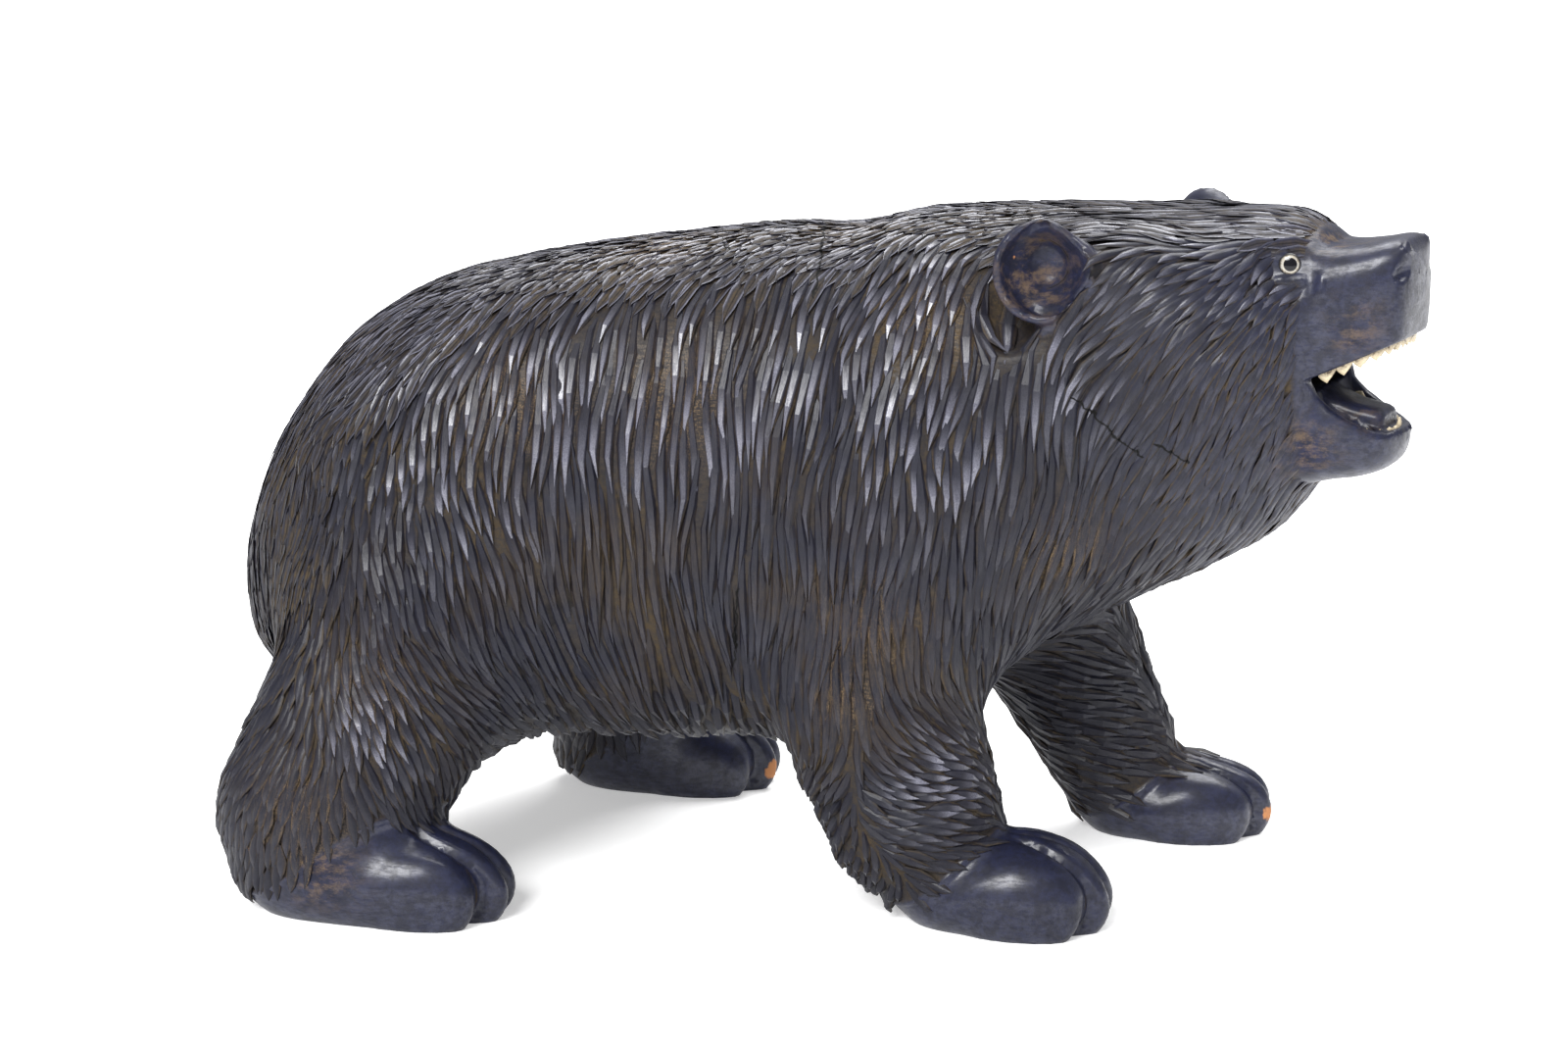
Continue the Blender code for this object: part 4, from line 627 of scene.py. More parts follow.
def face_details(form, points):
    """The small forms of the face: the top of the nose, nostrils, the ridge before the eye, and the eyelids."""
    for side in (RIGHT, LEFT):
        pad = mirrored(NOSE_PAD[0], side)
        add(form, points, lambda p: blob(p, pad, NOSE_PAD[1]), pad, reach=9, blend=2.5)
        for start, end, radius in NOSTRIL_CUTS:
            a, b = mirrored(start, side), mirrored(end, side)
            middle = tuple((np.array(a) + np.array(b)) / 2.0)
            take(form, points, lambda p: limb(p, a, radius, b, radius * 0.8), middle, reach=9, blend=0.8)
        a, radius_a, b, radius_b = RIDGE
        a, b, middle = mirrored(a, side), mirrored(b, side), mirrored(RIDGE_MIDDLE, side)
        add(form, points, lambda p: limb(p, a, radius_a, b, radius_b), middle, reach=9, blend=2.2)
        for over, length, tilt in LIDS:
            lid = (EYE_PLACE[0] - 0.5, side * 27.6, EYE_PLACE[1] + over)
            add(form, points, lambda p: blob(p, lid, (length, 3.0, 1.7), tilt), lid, reach=9, blend=2.0)


def bear_form(points, fine=False):
    """How far each point is outside the smooth bear, in units, before the fur is cut.

    Fine adds the small forms of the face.
    """
    straight = turned(points)
    form = loft(straight, "trunk", TRUNK_POWER)
    for leg in LEGS.values():
        add_leg(form, points, leg)
    head = on_head(points)
    head_details(form, head)
    if fine:
        face_details(form, head)
    return form


def slope(points, fine, step=0.25):
    """The form and its gradient, from four corners of a small tetrahedron."""
    corners = np.array([(1, -1, -1), (-1, -1, 1), (-1, 1, -1), (1, 1, 1)], float)
    values = [bear_form(points + corner * step, fine) for corner in corners]
    gradient = sum(value[:, None] * corner for value, corner in zip(values, corners)) / (4.0 * step)
    return sum(values) / 4.0, gradient


def draw_to_form(points, rounds, fine=False, longest=3.0):
    """Moves every point along the gradient until it lies on the smooth bear, and gives its outward normal."""
    points = points.copy()
    for _ in range(rounds):
        value, gradient = slope(points, fine)
        step = value / np.maximum((gradient**2).sum(1), 1e-6)
        move = step[:, None] * gradient
        length = np.linalg.norm(move, axis=1)
        points -= move * np.minimum(1.0, longest / np.maximum(length, 1e-9))[:, None]
    return points, gradient / np.maximum(np.linalg.norm(gradient, axis=1), 1e-9)[:, None]


def lay_of_fur(points, normals):
    """The way the locks point at each place, and their width, length, depth and roundness there."""
    straight = turned(points)
    side = np.where(straight[:, 1] < 0, RIGHT, LEFT)
    folded = straight * np.column_stack([np.ones(len(points)), side, np.ones(len(points))])
    lay = np.zeros_like(points)
    build = np.zeros((len(points), 4))
    total = np.full(len(points), 1e-12)
    for only, centre, reach, direction, *kind in FUR:
        gap = ((folded - np.array(centre, float)) ** 2).sum(1) / reach**2
        weight = np.exp(-gap) + 1e-9 / (1.0 + gap)
        if only:
            weight = np.where(side == only, weight * LEG_WEIGHT, 0.0)
        lay += weight[:, None] * unit(direction)
        build += weight[:, None] * np.array(kind, float)
        total += weight
    lay[:, 1] *= side
    angle = HEAD_TURN * smooth_step(straight[:, 0], *NECK_BEND)
    c, s = np.cos(angle), np.sin(angle)
    lay = np.column_stack([c * lay[:, 0] + s * lay[:, 1], c * lay[:, 1] - s * lay[:, 0], lay[:, 2]])
    lay -= normals * (lay * normals).sum(1)[:, None]
    lay /= np.maximum(np.linalg.norm(lay, axis=1), 1e-9)[:, None]
    across = np.cross(normals, lay)
    sway = WOBBLE * (np.sin(points @ (0.11, 0.05, 0.07) + 1.0) + np.sin(points @ (-0.05, 0.13, 0.10) + 4.0)
                     + np.sin(points @ (0.19, -0.07, -0.16)))
    lay = lay * np.cos(sway)[:, None] + across * np.sin(sway)[:, None]
    return lay, build / total[:, None]


def new_object(name, bm, collection, material=None, scale=None):
    """A mesh object from a bmesh, which is drawn in units unless a scale is given."""
    scale = scale or UNIT
    bmesh.ops.scale(bm, vec=(scale, scale, scale), verts=bm.verts)
    bmesh.ops.recalc_face_normals(bm, faces=bm.faces)
    mesh = bpy.data.meshes.new(name)
    bm.to_mesh(mesh)
    bm.free()
    obj = bpy.data.objects.new(name, mesh)
    collection.objects.link(obj)
    if material:
        mesh.materials.append(material)
    return obj


def carry_out(obj):
    """Puts the mesh that the object's modifiers give in place of its old one."""
    depsgraph = bpy.context.evaluated_depsgraph_get()
    mesh = bpy.data.meshes.new_from_object(obj.evaluated_get(depsgraph))
    obj.modifiers.clear()
    obj.data = mesh


def remesh(obj, voxel):
    """Makes one even skin of all that the object's mesh holds."""
    modifier = obj.modifiers.new("Remesh", "REMESH")
    modifier.mode = "VOXEL"
    modifier.voxel_size = voxel * UNIT
    carry_out(obj)


def cut_away(block, cutter):
    """Cuts one shape out of another and clears the cutter away."""
    modifier = block.modifiers.new(cutter.name, "BOOLEAN")
    modifier.operation = "DIFFERENCE"
    modifier.solver = "EXACT"
    modifier.object = cutter
    carry_out(block)
    bpy.data.objects.remove(cutter)


def add_blob(bm, centre, radii, turn=None):
    """An ellipsoid, and the vertices that it is made of."""
    made = bmesh.ops.create_uvsphere(bm, u_segments=24, v_segments=16, radius=1.0)["verts"]
    turn = turn or Matrix.Identity(4)
    shape = Matrix.Translation(Vector(centre)) @ turn @ Matrix.Diagonal((*radii, 1.0))
    bmesh.ops.transform(bm, matrix=shape, verts=made)
    return made


def half_egg(bm, centre, radii, axes, rim):
    """The part of an egg shape that lies less than rim outwards along its first axis, closed flat."""
    made = add_blob(bm, centre, radii, Matrix(axes.tolist()).to_4x4())
    parts = set(made)
    for v in made:
        parts.update(v.link_edges, v.link_faces)
    place = Vector(centre) + Vector(axes[:, 0]) * rim
    outwards = Vector(axes[:, 0])
    rest = bmesh.ops.bisect_plane(bm, geom=list(parts), plane_co=place, plane_no=outwards, clear_outer=True)
    bmesh.ops.holes_fill(bm, edges=[g for g in rest["geom_cut"] if isinstance(g, bmesh.types.BMEdge)])


def add_bar(bm, start, start_radius, end, end_radius, slim=1.0):
    """The hull of two balls."""
    made = []
    for centre, radius in ((start, start_radius), (end, end_radius)):
        ball = bmesh.ops.create_uvsphere(bm, u_segments=16, v_segments=10, radius=1.0)["verts"]
        size = Matrix.Diagonal((radius, radius * slim, radius, 1.0))
        bmesh.ops.transform(bm, matrix=Matrix.Translation(Vector(centre)) @ size, verts=ball)
        made += ball
    old_faces = list({f for v in made for f in v.link_faces})
    bmesh.ops.delete(bm, geom=old_faces, context="FACES_ONLY")
    hull = bmesh.ops.convex_hull(bm, input=made)
    inside = [g for g in hull["geom_interior"] if isinstance(g, bmesh.types.BMVert)]
    bmesh.ops.delete(bm, geom=inside, context="VERTS")


def add_loft(bm, table, power):
    """Rounded rectangles through the sections of a table, bridged one to the next."""
    before = set(bm.verts)
    loops = []
    for x, top, bottom, half_width in table:
        ring = bmesh.ops.create_circle(bm, segments=32, radius=1.0)["verts"]
        for v in ring:
            c, s = v.co.x, v.co.y
            across = math.copysign(abs(c) ** (2.0 / power), c) * half_width
            up = math.copysign(abs(s) ** (2.0 / power), s) * max((top - bottom) / 2.0, 0.5)
            v.co = (x, across, (top + bottom) / 2.0 + up)
        loops.append(ring)
    for a, b in zip(loops, loops[1:]):
        edges = {e for v in a + b for e in v.link_edges if len(e.link_faces) < 2}
        rims = [e for e in edges if all(v in a for v in e.verts) or all(v in b for v in e.verts)]
        bmesh.ops.bridge_loops(bm, edges=rims)
    bmesh.ops.holes_fill(bm, edges=[e for e in bm.edges if e.is_boundary])
    return [v for v in bm.verts if v not in before]


def turn(verts, how):
    """Puts what was drawn on the straight body where the turned head takes it."""
    for v, place in zip(verts, how(np.array([v.co[:] for v in verts]), -1.0)):
        v.co = place


def rough_block(collection):
    """The bear roughed out of simple shapes, close enough for its skin to be drawn onto the form."""
    bm = bmesh.new()
    turn(add_loft(bm, TRUNK, TRUNK_POWER), turned)
    for leg in LEGS.values():
        add_blob(bm, *leg["mass"])
        (upper, upper_radius), (ankle, ankle_radius) = leg["upper"], leg["ankle"]
        add_bar(bm, upper, upper_radius, ankle, ankle_radius, leg["slim"])
        heading = math.radians(leg["heading"])
        place = Matrix.Translation(Vector((*leg["heel"], 0.0))) @ Matrix.Rotation(heading, 4, "Z")
        for centre, radii in foot_masses(leg):
            add_blob(bm, place @ Vector(centre), radii, place.to_3x3().to_4x4())
    turn(add_loft(bm, MUZZLE, MUZZLE_POWER), on_head)
    turn(add_loft(bm, JAW, JAW_POWER), on_head)
    block = new_object("block", bm, collection)
    remesh(block, BLOCK_VOXEL)
    return block


def recess_cutter(collection):
    """The dents behind the ears."""
    bm = bmesh.new()
    for side in EARS:
        add_blob(bm, *ear_recess(side))
    turn(list(bm.verts), on_head)
    return new_object("recesses", bm, collection)


def hollow_cutter(collection):
    """The open gape, the hollow behind the lips and the hollows of the ears."""
    bm = bmesh.new()
    places = [x for x, _ in LOWER_LIP] + [BEFORE_NOSE]
    upper, lower = lips(np.array(places))
    for a, b in zip(range(len(places)), range(1, len(places))):
        corners = [(places[k], side * BESIDE_JAWS, heights[k])
                   for k in (a, b) for side in (RIGHT, LEFT) for heights in (upper + 0.1, lower - 0.1)]
        bmesh.ops.convex_hull(bm, input=[bm.verts.new(corner) for corner in corners])
    middle = (THROAT + MOUTH_FRONT) / 2.0
    add_blob(bm, (middle, 0, 204), (19, 15, 13))
    add_blob(bm, (middle + 11, 0, 211), (12, 13, 13))
    for side, ear in EARS.items():
        axes = ear_frame(side)
        offset, radii = EAR_HOLLOW
        add_blob(bm, np.array(ear) + axes[:, 0] * offset, radii, Matrix(axes.tolist()).to_4x4())
    turn(list(bm.verts), on_head)
    cutter = new_object("hollows", bm, collection)
    remesh(cutter, CUTTER_VOXEL)
    return cutter


def add_ears(bm):
    """Both ears with their stems, and the swellings of the skull under them."""
    for side, ear in EARS.items():
        axes = ear_frame(side)
        half_egg(bm, ear, EAR_BOWL[1], axes, EAR_RIM)
        for bar in ear_bars(ear):
            add_bar(bm, *bar)
        add_blob(bm, *temple(side))


def add_tongue(bm):
    """The tongue, which lies in the open mouth."""
    add_loft(bm, TONGUE, TONGUE_POWER)


def build_on(block, add_shapes, voxel):
    """Adds shapes of the straight head to the block and makes one skin of it all."""
    bm = bmesh.new()
    add_shapes(bm)
    turn(list(bm.verts), on_head)
    bmesh.ops.scale(bm, vec=(UNIT,) * 3, verts=bm.verts)
    bmesh.ops.recalc_face_normals(bm, faces=bm.faces)
    bm.from_mesh(block.data)
    bm.to_mesh(block.data)
    bm.free()
    remesh(block, voxel)


def read_points(mesh):
    """The vertices of a mesh, in units."""
    flat = np.empty(len(mesh.vertices) * 3)
    mesh.vertices.foreach_get("co", flat)
    return flat.reshape(-1, 3) / UNIT


def write_points(mesh, points):
    """Moves the vertices of a mesh to places given in units."""
    mesh.vertices.foreach_set("co", (points * UNIT).ravel())
    mesh.update()


def head_matrix():
    """From the straight head to where the turned head is, in metres."""
    pivot = Matrix.Translation(Vector((NAPE * UNIT, 0.0, 0.0)))
    return pivot @ Matrix.Rotation(-HEAD_TURN, 4, "Z") @ pivot.inverted()


def eye_matrix(side):
    """The place of an eye, where its level meets the skin, with Z looking out."""
    across = np.linspace(12.0, 44.0, 321)
    level = np.column_stack([np.full_like(across, EYE_PLACE[0]), side * across, np.full_like(across, EYE_PLACE[1])])
    inside = bear_form(on_head(level, -1.0)) < 0
    skin = level[np.flatnonzero(inside)[-1]]
    out = Vector(mirrored(EYE_FACING, side))
    place = Matrix.Translation(Vector(skin * UNIT)) @ out.to_track_quat("Z", "Y").to_matrix().to_4x4()
    return head_matrix() @ place


def fair_arch(arch):
    """A smooth line along a strip from its right end round the front, and the length run at each place."""
    half = np.array(arch, float)
    whole = np.vstack([half * (1, RIGHT, 1), half[-2::-1]])
    padded = np.vstack([2 * whole[0] - whole[1], whole, 2 * whole[-1] - whole[-2]])
    fine = np.linspace(0, len(whole) - 1, 400)
    k = np.minimum(fine.astype(int), len(whole) - 2)
    curve = through(padded[k], padded[k + 1], padded[k + 2], padded[k + 3], (fine - k)[:, None])
    run = np.concatenate([[0.0], np.cumsum(np.linalg.norm(np.diff(curve[:, :2], axis=0), axis=1))])
    return curve, run


class Cells:
    """Points sorted into cubes, to gather quickly those near a place."""

    def __init__(self, points, size):
        self.size = size
        self.low = points.min(0) - size
        self.count = ((points.max(0) - self.low) / size).astype(int) + 3
        self.keys = self.key(((points - self.low) / size).astype(int))
        self.order = np.argsort(self.keys, kind="stable")
        self.keys = self.keys[self.order]

    def key(self, cell):
        """The number of a cube."""
        return (cell[..., 0] * self.count[1] + cell[..., 1]) * self.count[2] + cell[..., 2]

    def near(self, place, reach):
        """The numbers of the points in the cubes within reach of a place."""
        low = np.maximum(((place - reach - self.low) / self.size).astype(int), 0)
        high = np.minimum(((place + reach - self.low) / self.size).astype(int), self.count - 1)
        columns = np.array([(i, j, low[2]) for i in range(low[0], high[0] + 1) for j in range(low[1], high[1] + 1)])
        starts = self.key(columns)
        a = np.searchsorted(self.keys, starts, "left")
        b = np.searchsorted(self.keys, starts + high[2] - low[2], "right")
        return np.concatenate([self.order[i:j] for i, j in zip(a, b)])


def place_locks(points, normals, lay, build, rng):
    """Places for the locks, spread evenly at the spacing that their width and length ask for."""
    cells = Cells(points, 6.0)
    across = np.cross(normals, lay)
    free = np.ones(len(points), bool)
    chosen = []
    for index in rng.permutation(len(points)):
        if not free[index]:
            continue
        chosen.append(index)
        width, length = build[index, 0] * CROWDING[0], build[index, 1] * CROWDING[1]
        found = cells.near(points[index], length)
        gap = points[found] - points[index]
        spread = (gap @ lay[index] / length) ** 2 + (gap @ across[index] / width) ** 2
        free[found[spread < 1.0]] = False
    return np.array(chosen)


def comb(places, outwards, reach, steps):
    """Follows the lay of the fur from each place, by its own reach in so many steps, and keeps to the skin."""
    stops = []
    for _ in range(steps):
        lay, _ = lay_of_fur(places, outwards)
        places, outwards = draw_to_form(places + lay * (reach / steps)[:, None], 1)
        stops.append((places, outwards))
    return stops


def off_the_ears(chosen, points, normals, lay, build):
    """Those of the chosen places whose locks neither run onto an ear nor stick out beside one."""
    for share in (-LOCK_REACH, LOCK_REACH):
        reach = build[chosen, 1] * 0.5 * share
        chosen = chosen[clear_of_ears(points[chosen] + lay[chosen] * reach[:, None])]
        reach = build[chosen, 1] * 0.5 * share
        ((_, outwards),) = comb(points[chosen], normals[chosen], reach, 1)
        straight = on_head(points[chosen])
        by_an_ear = np.any([near(straight, EARS[side], BESIDE_EAR) for side in EARS], axis=0)
        chosen = chosen[~by_an_ear | ((normals[chosen] * outwards).sum(1) > LEVEL)]
    return chosen


def lock_faces(many, rows, columns):
    """The four-sided faces of so many locks, each a net of rows and columns of points."""
    corner = np.array([(i * columns + j, (i + 1) * columns + j, (i + 1) * columns + j + 1, i * columns + j + 1)
                       for i in range(rows - 1) for j in range(columns - 1)])
    return (corner[None] + (np.arange(many) * rows * columns)[:, None, None]).reshape(-1, 4)


def shape_locks(places, normals, build, hollow, rng):
    """Locks of one kind: their points, faces, marks and softness.

    The marks are how far a point is on the crest and towards the tip, the shade of its lock, and how far along
    and across the lock it lies.
    """
    stations, section = SCALE if hollow else LEAF
    many = len(places)
    width, length, depth, _ = build.T
    width = width * 0.5 * rng.uniform(*WIDTHS, many)
    length = length * 0.5 * rng.uniform(*LENGTHS, many)
    depth = depth * rng.uniform(*DEPTHS, many)
    lift, shade, bend = rng.uniform(-LIFT, LIFT, many), rng.uniform(size=many), rng.normal(0, BEND, many)
    tilted = HOLLOW_TILT if hollow else 1.0
    roll, pitch = rng.normal(0, ROLL * tilted, many), rng.normal(0, PITCH * tilted, many)
    pitch += RAGGED * smooth_step(build[:, 2], *RAGGED_DEPTHS)
    back, ahead = comb(places, normals, -length, LOCK_STEPS), comb(places, normals, length, LOCK_STEPS)
    spine = np.array([place for place, _ in back[::-1] + [(places, normals)] + ahead])
    at = np.linspace(-1.0, 1.0, len(spine))
    net, marks = [], []
    for along, wide, high in stations:
        k = min(max(int(np.searchsorted(at, along)) - 1, 0), len(spine) - 2)
        heading = spine[k + 1] - spine[k]
        share = (along - at[k]) / (at[k + 1] - at[k])
        centre, outward = draw_to_form(spine[k] + heading * share, 1)
        side = np.cross(outward, heading)
        side /= np.maximum(np.linalg.norm(side, axis=1), 1e-9)[:, None]
        for across, drop, crest in section:
            slip = (across * wide + bend * along * along * 3.0) * width
            place, out = draw_to_form(centre + side * slip[:, None], 1)
            up = depth * (high + drop * (0.35 + 0.65 * min(wide, 1.0)) + lift - 0.35)
            up += across * wide * width * roll + along * length * pitch
            net.append(place + out * up[:, None])
            tip = HOLLOW_TIP if hollow else along
            marks.append(np.column_stack([np.full(many, crest), np.full(many, tip), shade, along * length,
                                          across * wide * width]))
    rows, columns = len(stations), len(section)
    soft = np.repeat(build[:, 2] < SOFT_DEPTH, (rows - 1) * (columns - 1))
    net = np.array(net).transpose(1, 0, 2).reshape(-1, 3)
    marks = np.array(marks).transpose(1, 0, 2).reshape(-1, 5)
    return net, lock_faces(many, rows, columns), marks, soft


def grow_locks(points, normals, lay, build, rng):
    """Raised leaves and hollow scales of wood that overlap down the lay: their points, faces, marks and softness."""
    every = place_locks(points, normals, lay, build, rng)
    chosen = off_the_ears(every[furred(points)[every] > 0.5], points, normals, lay, build)
    kinds, count = [], 0
    for hollow in (False, True):
        kept = chosen[(build[chosen, 3] < 0.5) == hollow]
        net, faces, marks, soft = shape_locks(points[kept], normals[kept], build[kept], hollow, rng)
        kinds.append((net, faces + count, marks, soft))
        count += len(net)
    return [np.concatenate(part) for part in zip(*kinds)]


def furred(points):
    """How much fur is carved at each place: none on muzzle and paws, round the eyes or in the ears."""
    straight = on_head(points)
    x, z = straight[:, 0], straight[:, 2]
    out = 1.0 - smooth_step(x, *FUR_FADES)
    for leg in LEGS.values():
        hem = paw_hem(points, leg)
        out = np.where(np.isfinite(hem), out * smooth_step(z - np.nan_to_num(hem), -3.0, 3.0), out)
    for side in (RIGHT, LEFT):
        eye = (EYE_PLACE[0] + 1, side * 31, EYE_PLACE[1])
        out *= smooth_step(np.linalg.norm(straight - eye, axis=1), *BARE_ROUND_EYE)
        cup, _ = ear_cup(straight, side, *EAR_BOWL)
        out = np.where(near(straight, EARS[side], 40), out * smooth_step(cup, 1.0, 6.0), out)
    return out


def clear_of_ears(points):
    """Which of the points lie outside both ears."""
    straight = on_head(points)
    return np.all([ear_cup(straight, side, *EAR_BOWL)[0] > 1.0 for side in EARS], axis=0)


def paw_hem(points, leg):
    """The height at which the fur ends over a foot, and nan away from it."""
    p = in_foot(points, leg)
    share = p[:, 0] / leg["length"]
    hem = HEM_HEIGHT + HEM_RISE * smooth_step(share, 0.02, 0.62) * leg["rise"]
    here = (p[:, 0] > -20) & (share < 1.25) & (np.abs(p[:, 1]) < FOOT_HALF_WIDTH + 8)
    return np.where(here, hem, np.nan)


def paw_carving(points):
    """What is cut into the paws: the grooves between the toes and the step under the hem of the fur."""
    move = np.zeros(len(points))
    for leg in LEGS.values():
        p = in_foot(points, leg)
        hem = paw_hem(points, leg)
        under = np.where(np.isfinite(hem), points[:, 2] - np.nan_to_num(hem), 99.0)
        drop = HEM_STEP * (1.0 - smooth_step(-under, 0.0, 14.0))
        move -= np.where((under < 3.0) & (under > -40), drop * smooth_step(-under, -3.0, 0.5), 0.0)
        share = p[:, 0] / leg["length"]
        near_foot = (share > 0.4) & (share < 1.3) & (np.abs(p[:, 1]) < FOOT_HALF_WIDTH + 4)
        for gap in range(1, TOES):
            side = (gap / TOES * 2.0 - 1.0) * FOOT_HALF_WIDTH * 0.96
            line = side * (0.40 + 0.60 * smooth_step(share, 0.45, 0.85))
            groove = np.exp(-(((p[:, 1] - line) / GROOVE_WIDTH) ** 2)) * smooth_step(share, 0.50, 0.66)
            move -= np.where(near_foot, GROOVE_DEPTH * groove * smooth_step(points[:, 2], 0.5, 5.0), 0.0)
    return move


def spots(points, places):
    """How strongly the round spots cover each point, from 0 far off to 1 in their middle."""
    out = np.zeros(len(points))
    for centre, radius in places:
        out = np.maximum(out, np.exp(-((np.linalg.norm(points - centre, axis=1) / radius) ** 2) * 1.4))
    return out


def write_value(mesh, name, values):
    """Writes one number a vertex under a name that the materials read."""
    layer = mesh.attributes.new(name, "FLOAT", "POINT")
    layer.data.foreach_set("value", np.asarray(values, np.float32))


def drawn_skin(collection):
    """The roughed-out block, cut open and drawn onto the smooth form."""
    block = rough_block(collection)
    cut_away(block, recess_cutter(collection))
    build_on(block, add_ears, BLOCK_VOXEL)
    cut_away(block, hollow_cutter(collection))
    build_on(block, add_tongue, SKIN_VOXEL)
    points, _ = draw_to_form(read_points(block.data), 3)
    write_points(block.data, points)
    even_out(block, 4)
    return block


def even_out(obj, times, where=""):
    """Smooths the mesh, or only the vertices in a named group."""
    smooth = obj.modifiers.new("Even out", "SMOOTH")
    smooth.vertex_group = where
    smooth.factor = 0.5
    smooth.iterations = times
    carry_out(obj)


def fine_skin(collection, fineness):
    """The bear's smooth skin with its small forms, and the points of the coarser one."""
    bear = drawn_skin(collection)
    block_points = read_points(bear.data)
    remesh(bear, fineness / UNIT)
    points, _ = draw_to_form(read_points(bear.data), 2, True)
    write_points(bear.data, points)
    even_out(bear, 1)
    return bear, block_points


def carve_bare_wood(bear, triangles):
    """Cuts the toes into the smooth wood, sinks what lies under the fur, and thins the mesh out."""
    points, normals = draw_to_form(read_points(bear.data), 1, True)
    fur = furred(points)
    height = paw_carving(points) * (1.0 - smooth_step(fur, 0.0, 0.6)) - UNDER_FUR * smooth_step(fur, *BEDDED)
    points = points + normals * height[:, None]
    points[:, 2] = np.maximum(points[:, 2], 0.0)
    write_points(bear.data, points)
    straight = on_head(points)
    ears = np.any([near(straight, EARS[side], EAR_RADIUS + 6) for side in EARS], axis=0)
    bear.vertex_groups.new(name="ears").add(np.flatnonzero(ears).tolist(), 1.0, "REPLACE")
    even_out(bear, 6, "ears")
    bear.data.calc_loop_triangles()
    thin = bear.modifiers.new("Thin out", "DECIMATE")
    thin.ratio = triangles / len(bear.data.loop_triangles)
    carry_out(bear)


def write_marks(mesh, wood, locks, marks):
    """Writes what the finish of the wood and of the locks on it follows, apart from the spots of wear and painted
    highlight.
    """
    for column, name in enumerate(("crest", "tip", "shade")):
        write_value(mesh, name, np.concatenate([np.zeros(len(wood)), marks[:, column]]))
    under = smooth_step(furred(wood), *BEDDED)
    towards_face = smooth_step(on_head(locks)[:, 0], 120, 196)
    write_value(mesh, "fur", np.concatenate([under, 1.0 - 0.6 * towards_face]))
    # The cut mark: the wood sunk under the locks, the toe grooves and the sides of each lock, where the finish lays
    # dirt and paints shade
    grooves = smooth_step(-paw_carving(wood), 1.2, 2.6)
    write_value(mesh, "cut", np.concatenate([np.maximum(0.85 * under, grooves), 1.0 - marks[:, 0]]))
    flow = np.vstack([wood, np.column_stack([marks[:, 3], marks[:, 4], marks[:, 2] * 90.0])])
    layer = mesh.attributes.new("flow", "FLOAT_VECTOR", "POINT")
    layer.data.foreach_set("vector", flow.astype(np.float32).ravel())


def dress_in_locks(bear, block_points, settings):
    """Lays the locks of fur over the wood and writes the marks that the finish follows."""
    rng = np.random.default_rng(settings.seed)
    skin, outwards = draw_to_form(block_points, 1)
    lay, build = lay_of_fur(skin, outwards)
    build[:, :2] *= settings.lock_scale
    build[:, 2] *= settings.lock_depth
    locks, faces, marks, soft = grow_locks(skin, outwards, lay, build, rng)
    wood = read_points(bear.data)
    whole = np.vstack([wood, locks])
    whole[:, 2] = np.maximum(whole[:, 2], 0.0)
    bare = [list(face.vertices) for face in bear.data.polygons]
    mesh = bpy.data.meshes.new("carved_bear")
    mesh.from_pydata(whole * UNIT, [], bare + (faces + len(wood)).tolist())
    write_marks(mesh, wood, locks, marks)
    # The spots of bare wood, dust and brown, and the polish spots that also place painted highlight
    for name, places in WEAR_AND_HIGHLIGHT_SPOTS.items():
        write_value(mesh, name, spots(whole, places))
    mesh.transform(STAND_MOVE)
    mesh.polygons.foreach_set("use_smooth", [True] * len(bare) + soft.tolist())
    bear.data = mesh
    bear.name = "carved_bear"


def glass_eye(name, side, eyes, collection):
    """A domed glass disc on a stem, with marks for how far each place is from the pupil and from the middle."""
    radius, steps, spokes = EYE_DIAMETER / 2.0, 14, 56
    profile = [(radius * math.sin(a), eyes.proud * math.cos(a)) for a in np.linspace(0.0, math.pi / 2.0, steps + 1)]
    profile = [(max(r, 1e-6), z) for r, z in profile]
    stem = radius * EYE_STEM_SHARE
    profile += [(radius, -EYE_SEAT), (stem, -EYE_SEAT), (stem, -EYE_SEAT - EYE_STEM)]
    bm = bmesh.new()
    rings = [[bm.verts.new((r * math.cos(t), r * math.sin(t), z))
              for t in np.linspace(0.0, math.tau, spokes, endpoint=False)] for r, z in profile[1:]]
    for a, b in zip(rings, rings[1:]):
        for k in range(spokes):
            bm.faces.new((a[k], b[k], b[(k + 1) % spokes], a[(k + 1) % spokes]))
    top = bm.verts.new((0.0, 0.0, eyes.proud))
    for k in range(spokes):
        bm.faces.new((top, rings[0][k], rings[0][(k + 1) % spokes]))
    bm.faces.new(rings[-1][::-1])
    eye = new_object(name, bm, collection, scale=1.0)
    mesh = eye.data
    local = np.array([v.co[:] for v in mesh.vertices])
    place = STAND_MOVE @ eye_matrix(side)
    pupil = place.inverted().to_3x3() @ Vector(PUPIL_SHIFT)
    write_value(mesh, "from_pupil", np.hypot(local[:, 0] - pupil.x, local[:, 1] - pupil.y) * 1000.0)
    write_value(mesh, "from_middle", np.hypot(local[:, 0], local[:, 1]) * 1000.0)
    mesh.transform(place)
    mesh.shade_smooth()
    return eye


